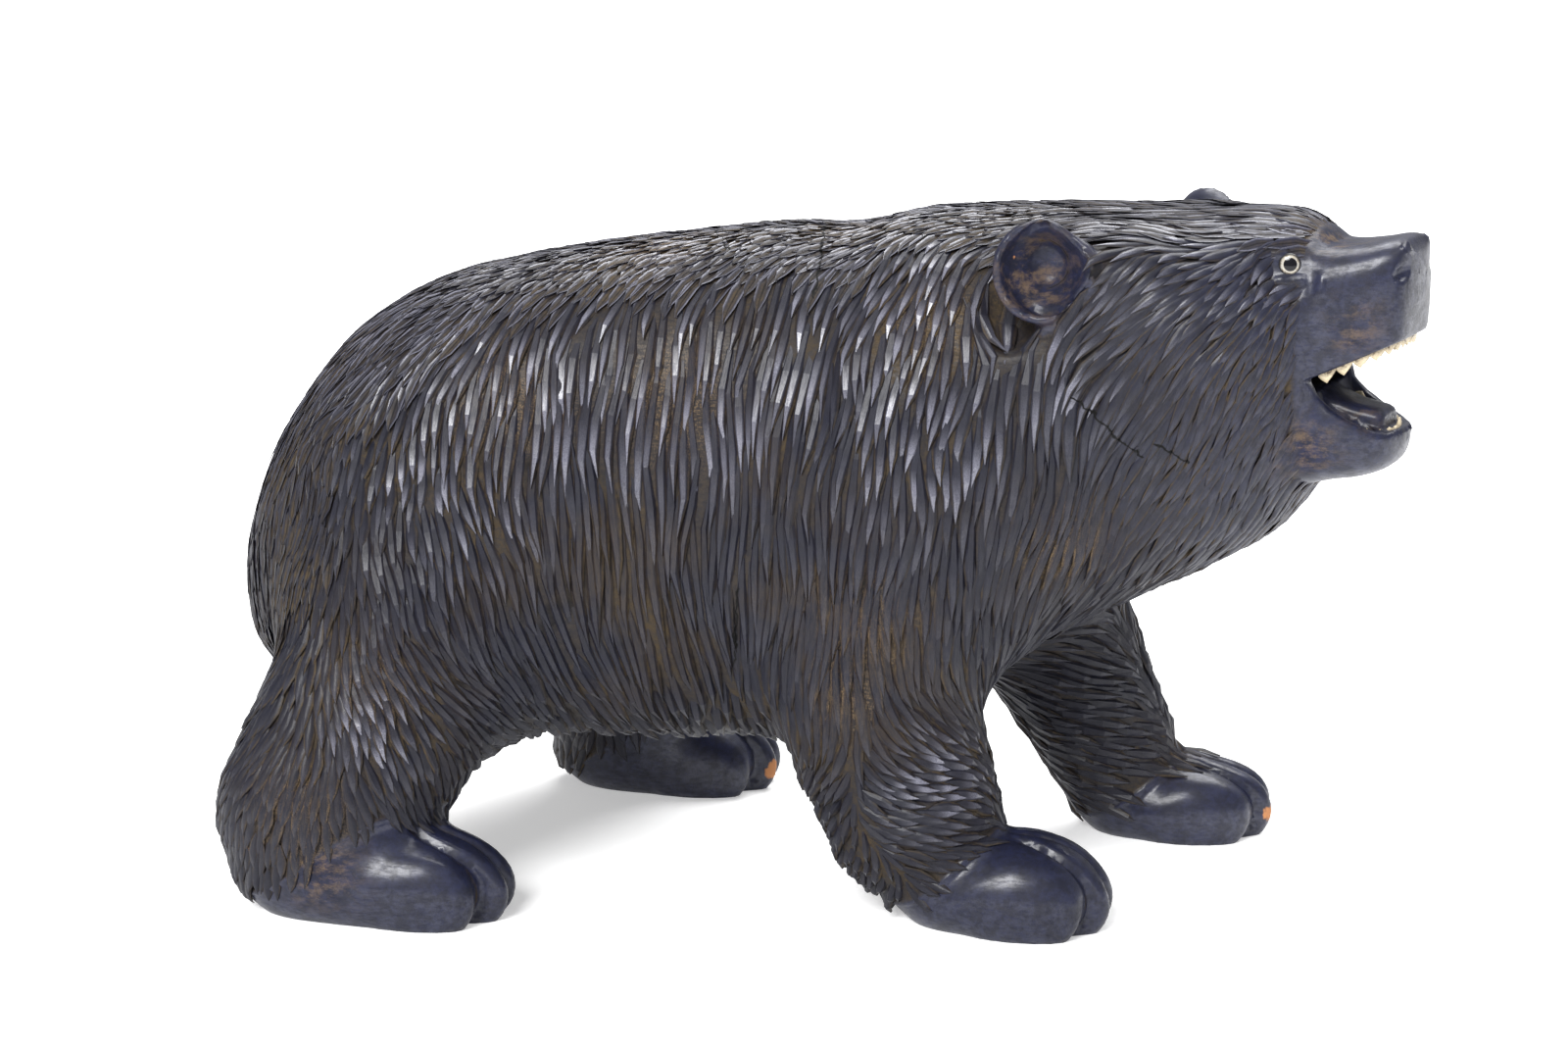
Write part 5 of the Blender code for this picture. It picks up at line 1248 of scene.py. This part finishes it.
def tooth_strip(name, arch, down, teeth, collection):
    """A strip bent along the jaw and filed into wedge-shaped teeth, the largest next to the mouth's corners."""
    curve, run = fair_arch(arch)
    total, away = run[-1], -1.0 if down else 1.0
    half = max(round(total * UNIT / teeth.pitch * 1.25 / 2.0), 2)
    steps = np.cumsum([0.0] + [1.0 - TOOTH_SHRINK * k / half for k in range(half)])
    edges = steps / steps[-1] * total / 2.0
    edges = np.concatenate([edges, total - edges[-2::-1]])
    columns, gum_share = [], []
    for a, b in zip(edges, edges[1:]):
        size = 0.62 + 0.38 * abs((a + b) / total - 1.0)
        for t in np.linspace(0.0, 1.0, TOOTH_STEPS, endpoint=False):
            rise = (1.0 - abs(2.0 * t - 1.0)) ** 0.85
            columns.append((a + (b - a) * t, size * (0.16 + 0.84 * rise), rise))
    columns.append((total, 0.2, 0.0))
    bm = bmesh.new()
    rings = []
    thick = STRIP_THICKNESS / UNIT / 2.0
    for at, bite, rise in columns:
        x, y, over = (np.interp(at, run, curve[:, i]) for i in range(3))
        ahead = np.array([np.interp(at + d, run, curve[:, i]) for d in (0.4, -0.4) for i in (0, 1)])
        along = unit([ahead[0] - ahead[2], ahead[1] - ahead[3]])
        out = np.array([along[1], -along[0]])
        upper, lower = lips(x)
        gum = upper - over if down else lower + over
        tall = bite * teeth.length / UNIT * (1.0 if down or y > 0 else 0.45)
        ring = []
        for wide, share, root, stained in STRIP_SECTION:
            high = share * tall + root * STRIP_ROOT / UNIT
            place = (x + out[0] * wide * thick, y + out[1] * wide * thick, gum + away * high)
            ring.append(bm.verts.new(place))
            gum_share.append(max(stained, 1.0 - 1.4 * rise))
        rings.append(ring)
    around = len(STRIP_SECTION)
    for a, b in zip(rings, rings[1:]):
        for k in range(around):
            bm.faces.new((a[k], b[k], b[(k + 1) % around], a[(k + 1) % around]))
    bm.faces.new(rings[0])
    bm.faces.new(rings[-1][::-1])
    strip = new_object(name, bm, collection)
    write_value(strip.data, "gum", gum_share)
    strip.data.transform(STAND_MOVE @ head_matrix())
    strip.data.shade_smooth()
    return strip


class Bench:
    """A node tree with short ways to place and wire its nodes."""

    def __init__(self, tree):
        self.tree = tree

    def put(self, kind, values=(), **settings):
        """A new node with its settings, and values or links for its inputs."""
        node = self.tree.nodes.new(kind)
        for name, value in settings.items():
            setattr(node, name, value)
        for name, value in dict(values).items():
            self.feed(node.inputs[name], value)
        return node

    def feed(self, socket, value):
        """Links a socket to another, or gives it a value."""
        if isinstance(value, bpy.types.NodeSocket):
            self.tree.links.new(value, socket)
        else:
            socket.default_value = value

    def maths(self, operation, a, b=0.0, c=0.0, clamp=False):
        """A maths node on up to three numbers; MULTIPLY_ADD is a times b plus c."""
        node = self.put("ShaderNodeMath", operation=operation, use_clamp=clamp)
        for socket, value in zip(node.inputs, (a, b, c)):
            self.feed(socket, value)
        return node.outputs[0]

    def product(self, first, *others):
        """Numbers multiplied, one after another."""
        for other in others:
            first = self.maths("MULTIPLY", first, other)
        return first

    def largest(self, first, *others):
        """The largest of the numbers."""
        for other in others:
            first = self.maths("MAXIMUM", first, other)
        return first

    def rest(self, share):
        """What a share leaves of 1."""
        return self.maths("SUBTRACT", 1.0, share)

    def vectors(self, operation, a, b=(0.0, 0.0, 0.0), scale=1.0):
        """A vector maths node."""
        node = self.put("ShaderNodeVectorMath", operation=operation)
        self.feed(node.inputs[0], a)
        self.feed(*((node.inputs[3], scale) if operation == "SCALE" else (node.inputs[1], b)))
        return node.outputs["Value" if operation in ("DOT_PRODUCT", "LENGTH") else "Vector"]

    def between(self, value, low, high, to_low=0.0, to_high=1.0):
        """A smooth step from to_low to to_high as the value runs from low to high."""
        node = self.put("ShaderNodeMapRange", interpolation_type="SMOOTHSTEP", clamp=True)
        for name, number in zip(("Value", "From Min", "From Max", "To Min", "To Max"),
                                (value, low, high, to_low, to_high)):
            self.feed(node.inputs[name], number)
        return node.outputs["Result"]

    def blend(self, share, a, b):
        """Colour a with a share of colour b."""
        node = self.put("ShaderNodeMix", data_type="RGBA", blend_type="MIX", clamp_factor=True)
        for socket, value in zip((node.inputs[0], node.inputs[6], node.inputs[7]), (share, a, b)):
            self.feed(socket, (*value, 1.0) if isinstance(value, tuple) and len(value) == 3 else value)
        return node.outputs[2]

    def noise(self, scale, detail=2.0, stretch=(1.0, 1.0, 1.0), roughness=0.5, place=None):
        """Cloudy noise over the object, or over other coordinates."""
        place = place or self.put("ShaderNodeTexCoord").outputs["Object"]
        mapped = self.put("ShaderNodeMapping", {"Vector": place, "Scale": stretch})
        return self.put("ShaderNodeTexNoise", {"Vector": mapped.outputs[0], "Scale": scale, "Detail": detail,
                                               "Roughness": roughness}).outputs["Fac"]

    def mark(self, name):
        """The numbers written on the mesh under a name."""
        return self.put("ShaderNodeAttribute", attribute_name=name).outputs["Fac"]


def effect(name, inputs, outputs):
    """A new node group with named inputs and outputs, and a bench to fill it."""
    group = bpy.data.node_groups.new(name, "ShaderNodeTree")
    for label, value in inputs:
        kind = "NodeSocketVector" if isinstance(value, tuple) else "NodeSocketFloat"
        socket = group.interface.new_socket(label, in_out="INPUT", socket_type=kind)
        socket.default_value = value
    for label in outputs:
        group.interface.new_socket(label, in_out="OUTPUT", socket_type="NodeSocketFloat")
    bench = Bench(group)
    return group, bench, bench.put("NodeGroupInput").outputs, bench.put("NodeGroupOutput").inputs


def grime_effect(name):
    """Dirt that has settled in the cuts, in patches."""
    group, bench, given, made = effect(
        name, (("Cut", 0.0), ("Amount", 1.0), ("Patch Scale", 30.0), ("Speck Scale", 700.0)), ("Dirt",))
    patch = bench.between(bench.noise(given["Patch Scale"], 3.0), 0.42, 0.66)
    speck = bench.between(bench.noise(given["Speck Scale"], 3.0, roughness=0.7), 0.40, 0.62)
    settled = bench.product(given["Cut"], bench.maths("MULTIPLY_ADD", speck, 0.6, 0.4),
                            bench.maths("MULTIPLY_ADD", patch, 0.65, 0.35))
    bench.feed(made["Dirt"], bench.maths("MULTIPLY", settled, given["Amount"], clamp=True))
    return group


def streak_effect(name):
    """Long fine streaks, as of wood or bone fibres."""
    group, bench, given, made = effect(name, (("Scale", 60.0), ("Contrast", 1.0)), ("Streaks", "Height"))
    wide = bench.noise(given["Scale"], 3.0, (0.16, 1.0, 1.0), 0.6)
    narrow = bench.noise(bench.maths("MULTIPLY", given["Scale"], 7.0), 2.0, (0.07, 1.0, 1.0), 0.6)
    both = bench.maths("ADD", bench.maths("MULTIPLY", wide, 0.6), bench.maths("MULTIPLY", narrow, 0.4))
    offset = bench.maths("MULTIPLY", bench.maths("SUBTRACT", both, 0.5), given["Contrast"])
    bench.feed(made["Streaks"], bench.maths("ADD", offset, 0.5, clamp=True))
    bench.feed(made["Height"], narrow)
    return group


def crack_effect(name):
    """A fine crack that wanders from one place to another."""
    group, bench, given, made = effect(
        name, (("From", (0.0, 0.0, 0.0)), ("To", (0.0, 0.0, 0.01)), ("Across", (1.0, 1.0, 1.0)),
               ("Width", 0.0006), ("Waver", 0.005)), ("Crack",))
    place = bench.put("ShaderNodeTexCoord").outputs["Object"]
    sway = bench.put("ShaderNodeTexNoise", {"Vector": place, "Scale": 260.0, "Detail": 3.0}).outputs["Color"]
    sway = bench.vectors("SCALE", bench.vectors("SUBTRACT", sway, (0.5, 0.5, 0.5)), scale=given["Waver"])
    run = bench.vectors("MULTIPLY", bench.vectors("SUBTRACT", given["To"], given["From"]), given["Across"])
    gap = bench.vectors("SUBTRACT", bench.vectors("ADD", place, sway), given["From"])
    gap = bench.vectors("MULTIPLY", gap, given["Across"])
    share = bench.maths("DIVIDE", bench.vectors("DOT_PRODUCT", gap, run), bench.vectors("DOT_PRODUCT", run, run),
                        clamp=True)
    away = bench.vectors("LENGTH", bench.vectors("SUBTRACT", gap, bench.vectors("SCALE", run, scale=share)))
    core = bench.maths("MULTIPLY", given["Width"], 0.4)
    bench.feed(made["Crack"], bench.between(away, core, given["Width"], 1.0, 0.0))
    return group


EFFECTS = {"Grime in the Cuts": grime_effect, "Fibre Streaks": streak_effect, "Drying Crack": crack_effect}


def shared(name):
    """An effect's node group, which is built once and then used again."""
    return bpy.data.node_groups.get(name) or EFFECTS[name](name)


def placed(bench, name, **values):
    """An effect with its own values, placed in a material: its outputs."""
    node = bench.put("ShaderNodeGroup", node_tree=shared(name))
    for label, value in values.items():
        bench.feed(node.inputs[label.replace("_", " ")], value)
    return node.outputs


def new_material(name):
    """A material, a bench for its nodes, and the inputs of its shader."""
    material = bpy.data.materials.new(name)
    material.use_nodes = True
    bench = Bench(material.node_tree)
    return material, bench, material.node_tree.nodes["Principled BSDF"].inputs


def rubbed_and_highlit_crests(bench, finish):
    """How far handling has rubbed and polished each place, which is also where pale painted highlight goes: the
    crests towards the tips of the locks.
    """
    low_end = bench.maths("ADD", bench.between(bench.mark("tip"), 0.0, 0.9), 0.06)
    rubbed_and_highlit = bench.product(bench.between(bench.mark("crest"), 0.55, 1.0), low_end,
                            bench.maths("MULTIPLY_ADD", bench.mark("shade"), 0.8, 0.2),
                            bench.maths("MULTIPLY_ADD", bench.mark("polish"), 1.8, 0.10))
    return bench.maths("MULTIPLY", rubbed_and_highlit, finish.wear_and_highlight * 1.5, clamp=True)


def settled_dust(bench, grit, strands):
    """Where the dust lies: as specks in the cuts of the fur, and smeared on the smooth wood."""
    cut, fur = bench.mark("cut"), bench.mark("fur")
    specks = bench.product(bench.between(grit, 0.44, 0.62), bench.between(strands, 0.36, 0.58),
                           bench.maths("MULTIPLY_ADD", cut, 0.85, 0.15))
    smear = bench.product(bench.between(bench.noise(170.0, 5.0, (0.5, 1.0, 1.0), 0.75), 0.44, 0.66), 0.50)
    lying = bench.maths("ADD", bench.product(specks, fur), bench.product(smear, bench.rest(fur)))
    return bench.product(bench.mark("dust"), lying)


def open_cracks(bench):
    """Where the wood has split, along every stretch of every crack."""
    split = 0.0
    for across, crack in CRACKS:
        for stretch in zip(crack, crack[1:]):
            start, end = (tuple(x * UNIT + move for x, move in zip(place, STAND)) for place in stretch)
            split = bench.largest(split, placed(bench, "Drying Crack", From=start, To=end, Across=across)["Crack"])
    return split


def wood_polish(bench, finish, rubbed_and_highlit, mottle, dull, grit, strands):
    """How strong the polish is: thin on the fur but for its rubbed crests, fuller on the smooth wood."""
    fur = bench.mark("fur")
    on_fur = bench.maths("ADD", rubbed_and_highlit, 0.12, clamp=True)
    on_fur = bench.product(on_fur, bench.between(grit, 0.34, 0.54, 0.30, 1.0))
    smooth = bench.maths("MULTIPLY_ADD", mottle, -0.42, 0.56)
    gloss = bench.maths("ADD", bench.product(on_fur, fur), bench.product(smooth, bench.rest(fur)))
    gloss = bench.product(gloss, bench.maths("SUBTRACT", 1.0, dull, clamp=True),
                          bench.between(strands, 0.30, 0.58, 0.45, 1.0))
    return bench.maths("MULTIPLY", gloss, finish.polish, clamp=True)


def stained_wood(finish):
    """Blue-black stain with a satin polish, rubbed pale with a painted highlight on the crests, brown with dirt in
    the cuts and painted near black with shade in the deepest cuts.
    """
    material, bench, surface = new_material("stained_wood")
    cut, fur = bench.mark("cut"), bench.mark("fur")
    flow = bench.put("ShaderNodeAttribute", attribute_name="flow").outputs["Vector"]
    strands = bench.noise(1.0, 2.0, (0.22, 1.5, 1.0), 0.6, flow)
    grit = bench.noise(1.0, 3.0, (2.2, 4.2, 1.0), 0.7, flow)
    fibres = placed(bench, "Fibre Streaks", Scale=70.0, Contrast=1.3)
    cloud = bench.noise(26.0, 4.0, roughness=0.6)
    mottle = bench.maths("MULTIPLY_ADD", bench.between(bench.noise(190.0, 6.0, roughness=0.8), 0.38, 0.60), 0.5,
                         bench.maths("MULTIPLY", fibres["Streaks"], 0.35))
    warm = bench.product(bench.between(cloud, 0.42, 0.64), bench.maths("MULTIPLY_ADD", fur, 0.65, 0.20),
                         bench.between(strands, 0.35, 0.65, 0.4, 1.0),
                         bench.maths("MULTIPLY_ADD", bench.mark("polish"), -0.8, 1.0),
                         bench.maths("MULTIPLY_ADD", bench.mark("brown"), 0.8, 0.2))
    rubbed_and_highlit = rubbed_and_highlit_crests(bench, finish)
    dirt = placed(bench, "Grime in the Cuts", Cut=bench.between(cut, 0.25, 0.75), Amount=finish.dirt,
                  Patch_Scale=24.0, Speck_Scale=420.0)["Dirt"]
    dusty = settled_dust(bench, grit, strands)
    ragged = bench.maths("ADD", bench.mark("bare"), bench.maths("MULTIPLY", bench.noise(230.0, 4.0), 0.9))
    bare = bench.between(ragged, 1.06, 1.24)
    # Painted shade: the deepest cuts, the sides of the locks and the toe grooves are coloured near black and lose
    # their polish
    deep_cut_shade = bench.between(cut, 0.75, 1.0)
    split = open_cracks(bench)

    colour = bench.blend(fur, tuple(finish.stain), tuple(finish.fur_stain))
    for share, coat in (
            (mottle, BLACK_STAIN),
            (warm, tuple(finish.undertone)),
            # pale rubbed wear and painted highlight on the crests
            (bench.product(rubbed_and_highlit, bench.between(grit, 0.34, 0.62, 0.35, 1.0)), tuple(finish.rubbed_highlight)),
            (dirt, tuple(finish.dirt_colour)),
            (bench.product(dusty, finish.dirt), tuple(finish.dust_colour)),
            (bench.product(bare, 0.85), tuple(finish.bare_wood)),
            # painted shade in the deepest cuts
            (bench.product(deep_cut_shade, 0.75), CUT_SHADE_BLACK),
            (split, CRACK_BLACK)):
        colour = bench.blend(share, colour, coat)
    bench.feed(surface["Base Color"], colour)

    matt = bench.product(bench.mark("dust"), bench.rest(fur), 0.85)
    dull = bench.largest(dirt, deep_cut_shade, dusty, bare, split, matt)
    bench.feed(surface["Coat Weight"], wood_polish(bench, finish, rubbed_and_highlit, mottle, dull, grit, strands))
    rough = bench.maths("MULTIPLY_ADD", bench.maths("SUBTRACT", cloud, 0.5), 0.25, 0.55)
    bench.feed(surface["Roughness"], bench.maths("MULTIPLY_ADD", dull, 0.25, rough, clamp=True))
    surface["Specular IOR Level"].default_value = 0.22
    surface["Coat Roughness"].default_value = finish.roughness
    surface["Coat IOR"].default_value = 1.65

    relief = bench.maths("MULTIPLY_ADD", fibres["Height"], 0.4, bench.maths("MULTIPLY", grit, 0.7))
    for height, amount in ((bench.product(strands, fur), 1.1), (split, -3.0), (bench.noise(150.0, 2.0), 4.0)):
        relief = bench.maths("MULTIPLY_ADD", height, amount, relief)
    bump = bench.put("ShaderNodeBump", {"Strength": 0.3, "Distance": 0.0004, "Height": relief})
    bench.feed(surface["Normal"], bump.outputs[0])
    return material


def eye_glass(eyes):
    """A black pupil in an ivory ring under a clear polished dome."""
    material, bench, surface = new_material("eye_glass")
    radius = bench.mark("from_pupil")
    ring = bench.mark("from_middle")
    vein = bench.noise(900.0, 3.0, roughness=0.65)
    colour = bench.blend(bench.between(vein, 0.35, 0.7), tuple(eyes.ring), EYE_VEIN)
    dirt = placed(bench, "Grime in the Cuts", Cut=bench.between(ring, 2.2, 3.6), Amount=2.0, Patch_Scale=260.0,
                  Speck_Scale=1500.0)["Dirt"]
    colour = bench.blend(dirt, colour, EYE_DIRT)
    rim = bench.between(ring, 3.0, 3.6)
    colour = bench.blend(rim, colour, EYE_RIM)
    edge = eyes.pupil * 500.0  # the pupil's radius in millimetres, which both marks are in
    pupil = bench.between(radius, edge - 0.12, edge + 0.14, 1.0, 0.0)
    colour = bench.blend(pupil, colour, PUPIL_BLACK)
    bench.feed(surface["Base Color"], colour)
    bench.feed(surface["Roughness"], bench.between(ring, 3.0, 4.1, 0.16, 0.45))
    surface["Specular IOR Level"].default_value = 0.08
    surface["Coat Weight"].default_value = 0.5
    surface["Coat Roughness"].default_value = 0.04
    return material


def tooth_inlay(teeth):
    """Ivory-coloured strips, streaked along their fibres and stained where they leave the gums."""
    material, bench, surface = new_material("tooth_inlay")
    fibres = placed(bench, "Fibre Streaks", Scale=420.0, Contrast=1.4)
    colour = bench.blend(bench.maths("MULTIPLY", fibres["Streaks"], 0.7), tuple(teeth.colour), TOOTH_VEIN)
    dirt = placed(bench, "Grime in the Cuts", Cut=bench.mark("gum"), Amount=1.5, Patch_Scale=380.0,
                  Speck_Scale=1600.0)["Dirt"]
    colour = bench.blend(dirt, colour, TOOTH_DIRT)
    bench.feed(surface["Base Color"], colour)
    bench.feed(surface["Roughness"], bench.maths("MULTIPLY_ADD", dirt, 0.3, 0.36))
    bump = bench.put("ShaderNodeBump", {"Strength": 0.3, "Distance": 0.0002, "Height": fibres["Height"]})
    bench.feed(surface["Normal"], bump.outputs[0])
    return material


def paper_floor(stage):
    """Smooth white board with a faint cloudiness."""
    material, bench, surface = new_material("paper_floor")
    darker = tuple(0.985 * c for c in stage.floor_colour)
    colour = bench.blend(bench.noise(3.0, 2.0), tuple(stage.floor_colour), darker)
    bench.feed(surface["Base Color"], colour)
    surface["Roughness"].default_value = 0.9
    surface["Specular IOR Level"].default_value = 0.1
    surface["Emission Color"].default_value = (1.0, 1.0, 1.0, 1.0)
    surface["Emission Strength"].default_value = stage.glow
    return material


def finish_piece(obj, material, node):
    """Gives a piece its material, hangs it under the root body and hides the solid that it dresses."""
    obj.data.materials.clear()
    obj.data.materials.append(material)
    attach(obj, "root")
    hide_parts(node)


def colour_property(name, description, default):
    """A colour that the user can change."""
    return bpy.props.FloatVectorProperty(name=name, description=description, default=default, min=0.0, max=1.0,
                                         size=3, subtype="COLOR")


class FurSettings(bpy.types.PropertyGroup):
    lock_depth: bpy.props.FloatProperty(name="Lock Depth", description="How deep the locks of fur are cut",
                                        default=1.0, min=0.0, max=2.0, subtype="FACTOR")
    lock_scale: bpy.props.FloatProperty(name="Lock Scale", description="Size of the locks of fur",
                                        default=1.0, min=0.6, max=2.0, subtype="FACTOR")
    seed: bpy.props.IntProperty(name="Seed", description="Changes how the locks are scattered", default=5, min=0)
    fineness: bpy.props.FloatProperty(name="Fineness", description="Spacing of the points that are carved",
                                      default=0.00108, min=0.0006, max=0.004, unit="LENGTH")
    wood_triangles: bpy.props.IntProperty(name="Wood Triangles", description="Triangles in the wood without its fur",
                                          default=46000, min=10000, max=90000)


class WoodSettings(bpy.types.PropertyGroup):
    stain: colour_property("Stain", "Colour of the smooth wood", (0.011, 0.014, 0.042))
    fur_stain: colour_property("Fur Stain", "Colour of the carved fur", (0.006, 0.0065, 0.015))
    undertone: colour_property("Undertone", "Brown that shows through the stain", (0.024, 0.016, 0.010))
    # Pale colour on the crests: rubbed wear and painted highlight together
    rubbed_highlight: colour_property("Rubbed", "Colour of the crests that handling has rubbed pale", (0.150, 0.150, 0.195))
    dirt_colour: colour_property("Dirt", "Colour of the dirt in the cuts", (0.056, 0.039, 0.020))
    dust_colour: colour_property("Dust", "Colour of the dust in sheltered places", (0.230, 0.150, 0.075))
    bare_wood: colour_property("Bare Wood", "Colour of the wood where the stain has gone", (0.480, 0.210, 0.085))
    # How much pale rubbed wear and painted highlight the crests take
    wear_and_highlight: bpy.props.FloatProperty(name="Wear", description="How far the crests are rubbed", default=0.75, min=0.0,
                                  max=2.0, subtype="FACTOR")
    dirt: bpy.props.FloatProperty(name="Dirt Amount", description="How much dirt and dust there is", default=1.0,
                                  min=0.0, max=2.0, subtype="FACTOR")
    polish: bpy.props.FloatProperty(name="Polish", description="How strong the polish on the wood is", default=1.0,
                                    min=0.0, max=1.0, subtype="FACTOR")
    roughness: bpy.props.FloatProperty(name="Roughness", description="How dull the polish is", default=0.24,
                                       min=0.05, max=0.9, subtype="FACTOR")


class EyeSettings(bpy.types.PropertyGroup):
    pupil: bpy.props.FloatProperty(name="Pupil", description="Diameter of the pupil", default=0.0048, min=0.001,
                                   max=0.007, unit="LENGTH")
    proud: bpy.props.FloatProperty(name="Height", description="How far the dome stands out of its socket",
                                   default=EYE_PROUD, min=0.0005, max=0.0025, unit="LENGTH")
    ring: colour_property("Ring", "Colour of the ring round the pupil", (0.48, 0.47, 0.43))


class ToothSettings(bpy.types.PropertyGroup):
    length: bpy.props.FloatProperty(name="Length", description="Length of the longest teeth", default=TOOTH_LENGTH,
                                    min=0.002, max=0.0055, unit="LENGTH")
    pitch: bpy.props.FloatProperty(name="Pitch", description="Width of a tooth near the corner of the mouth",
                                   default=0.0060, min=0.003, max=0.008, unit="LENGTH")
    colour: colour_property("Colour", "Colour of the strips", (0.66, 0.57, 0.40))


class StageSettings(bpy.types.PropertyGroup):
    floor_colour: colour_property("Floor", "Colour of the floor", (0.86, 0.86, 0.86))
    key_light: bpy.props.FloatProperty(name="Key Light", description="Strength of the soft light above",
                                       default=3.8, min=0.0, max=20.0, subtype="FACTOR")
    sky: bpy.props.FloatProperty(name="Sky", description="Brightness of the white surroundings", default=0.42,
                                 min=0.0, max=3.0, subtype="FACTOR")
    glow: bpy.props.FloatProperty(name="Floor Glow", description="Light that the floor gives off from below",
                                  default=0.42, min=0.0, max=2.0, subtype="FACTOR")


class CARVING_OT_bear(bpy.types.Operator):
    """Carve the bear's body and cut its fur"""
    bl_idname = "carving.bear"
    bl_label = "Carve the Bear"

    def execute(self, context):
        fur, wood = context.scene.bear_fur, context.scene.bear_wood
        bear, block_points = fine_skin(context.scene.collection, fur.fineness)
        carve_bare_wood(bear, fur.wood_triangles)
        dress_in_locks(bear, block_points, fur)
        finish_piece(bear, stained_wood(wood), "bear")
        return {"FINISHED"}


class CARVING_OT_eyes(bpy.types.Operator):
    """Set both glass eyes in their sockets"""
    bl_idname = "carving.eyes"
    bl_label = "Set the Eyes"

    def execute(self, context):
        eyes = context.scene.bear_eyes
        material = eye_glass(eyes)
        for node, side in (("right_eye", RIGHT), ("left_eye", LEFT)):
            eye = glass_eye(node.replace("eye", "glass_eye"), side, eyes, context.scene.collection)
            finish_piece(eye, material, node)
        return {"FINISHED"}


class CARVING_OT_teeth(bpy.types.Operator):
    """Inlay the two strips of teeth in the jaws"""
    bl_idname = "carving.teeth"
    bl_label = "Inlay the Teeth"

    def execute(self, context):
        teeth = context.scene.bear_teeth
        material = tooth_inlay(teeth)
        for node, arch, down in (("upper_teeth", UPPER_ARCH, True), ("lower_teeth", LOWER_ARCH, False)):
            strip = tooth_strip(node.replace("teeth", "tooth_strip"), arch, down, teeth, context.scene.collection)
            finish_piece(strip, material, node)
        return {"FINISHED"}


class CARVING_OT_stage(bpy.types.Operator):
    """Lay the white floor and set the lights and the camera"""
    bl_idname = "carving.stage"
    bl_label = "Set the Stage"

    def execute(self, context):
        stage, scene = context.scene.bear_stage, context.scene
        bm = bmesh.new()
        bmesh.ops.create_grid(bm, x_segments=1, y_segments=1, size=FLOOR_HALF)
        floor = new_object("floor", bm, scene.collection, paper_floor(stage), scale=1.0)
        world = bpy.data.worlds.new("white_room")
        scene.world = world
        world.use_nodes = True
        sky = world.node_tree.nodes["Background"].inputs
        sky["Color"].default_value = (1.0, 1.0, 1.0, 1.0)
        sky["Strength"].default_value = stage.sky
        for name, place, width, share in LIGHTS:
            lamp = bpy.data.lights.new(name, "SUN")
            lamp.angle, lamp.energy = math.radians(width), stage.key_light * share
            light = bpy.data.objects.new(name, lamp)
            scene.collection.objects.link(light)
            light.location = place
            light.rotation_euler = Vector(place).to_track_quat("Z", "Y").to_euler()
        lens = bpy.data.cameras.new("camera")
        lens.lens, lens.sensor_width = LENS
        camera = bpy.data.objects.new("camera", lens)
        scene.collection.objects.link(camera)
        camera.location, camera.rotation_euler = CAMERA_PLACE, CAMERA_TURN
        scene.camera = camera
        scene.view_settings.view_transform = "Standard"
        return {"FINISHED"}


class CARVING_PT_bear(bpy.types.Panel):
    """The settings and steps of the carved bear"""
    bl_idname = "CARVING_PT_bear"
    bl_label = "Carved Wooden Bear"
    bl_space_type = "VIEW_3D"
    bl_region_type = "UI"
    bl_category = "Carving"

    def draw(self, context):
        for step, groups in STEPS:
            box = self.layout.box()
            for group in groups:
                settings = getattr(context.scene, group)
                for name in settings.__annotations__:
                    box.prop(settings, name)
            box.operator(step)


STEPS = [
    (CARVING_OT_bear.bl_idname, ("bear_fur", "bear_wood")),
    (CARVING_OT_eyes.bl_idname, ("bear_eyes",)),
    (CARVING_OT_teeth.bl_idname, ("bear_teeth",)),
    (CARVING_OT_stage.bl_idname, ("bear_stage",)),
]
SETTINGS = {"bear_fur": FurSettings, "bear_wood": WoodSettings, "bear_eyes": EyeSettings,
            "bear_teeth": ToothSettings, "bear_stage": StageSettings}
CLASSES = (*SETTINGS.values(), CARVING_OT_bear, CARVING_OT_eyes, CARVING_OT_teeth, CARVING_OT_stage,
           CARVING_PT_bear)


def register():
    for cls in CLASSES:
        bpy.utils.register_class(cls)
    for name, settings in SETTINGS.items():
        setattr(bpy.types.Scene, name, bpy.props.PointerProperty(type=settings))


def unregister():
    for name in SETTINGS:
        delattr(bpy.types.Scene, name)
    for cls in reversed(CLASSES):
        bpy.utils.unregister_class(cls)


def main():
    register()
    bpy.ops.carving.bear()
    bpy.ops.carving.eyes()
    bpy.ops.carving.teeth()
    bpy.ops.carving.stage()


if __name__ == "__main__":
    main()
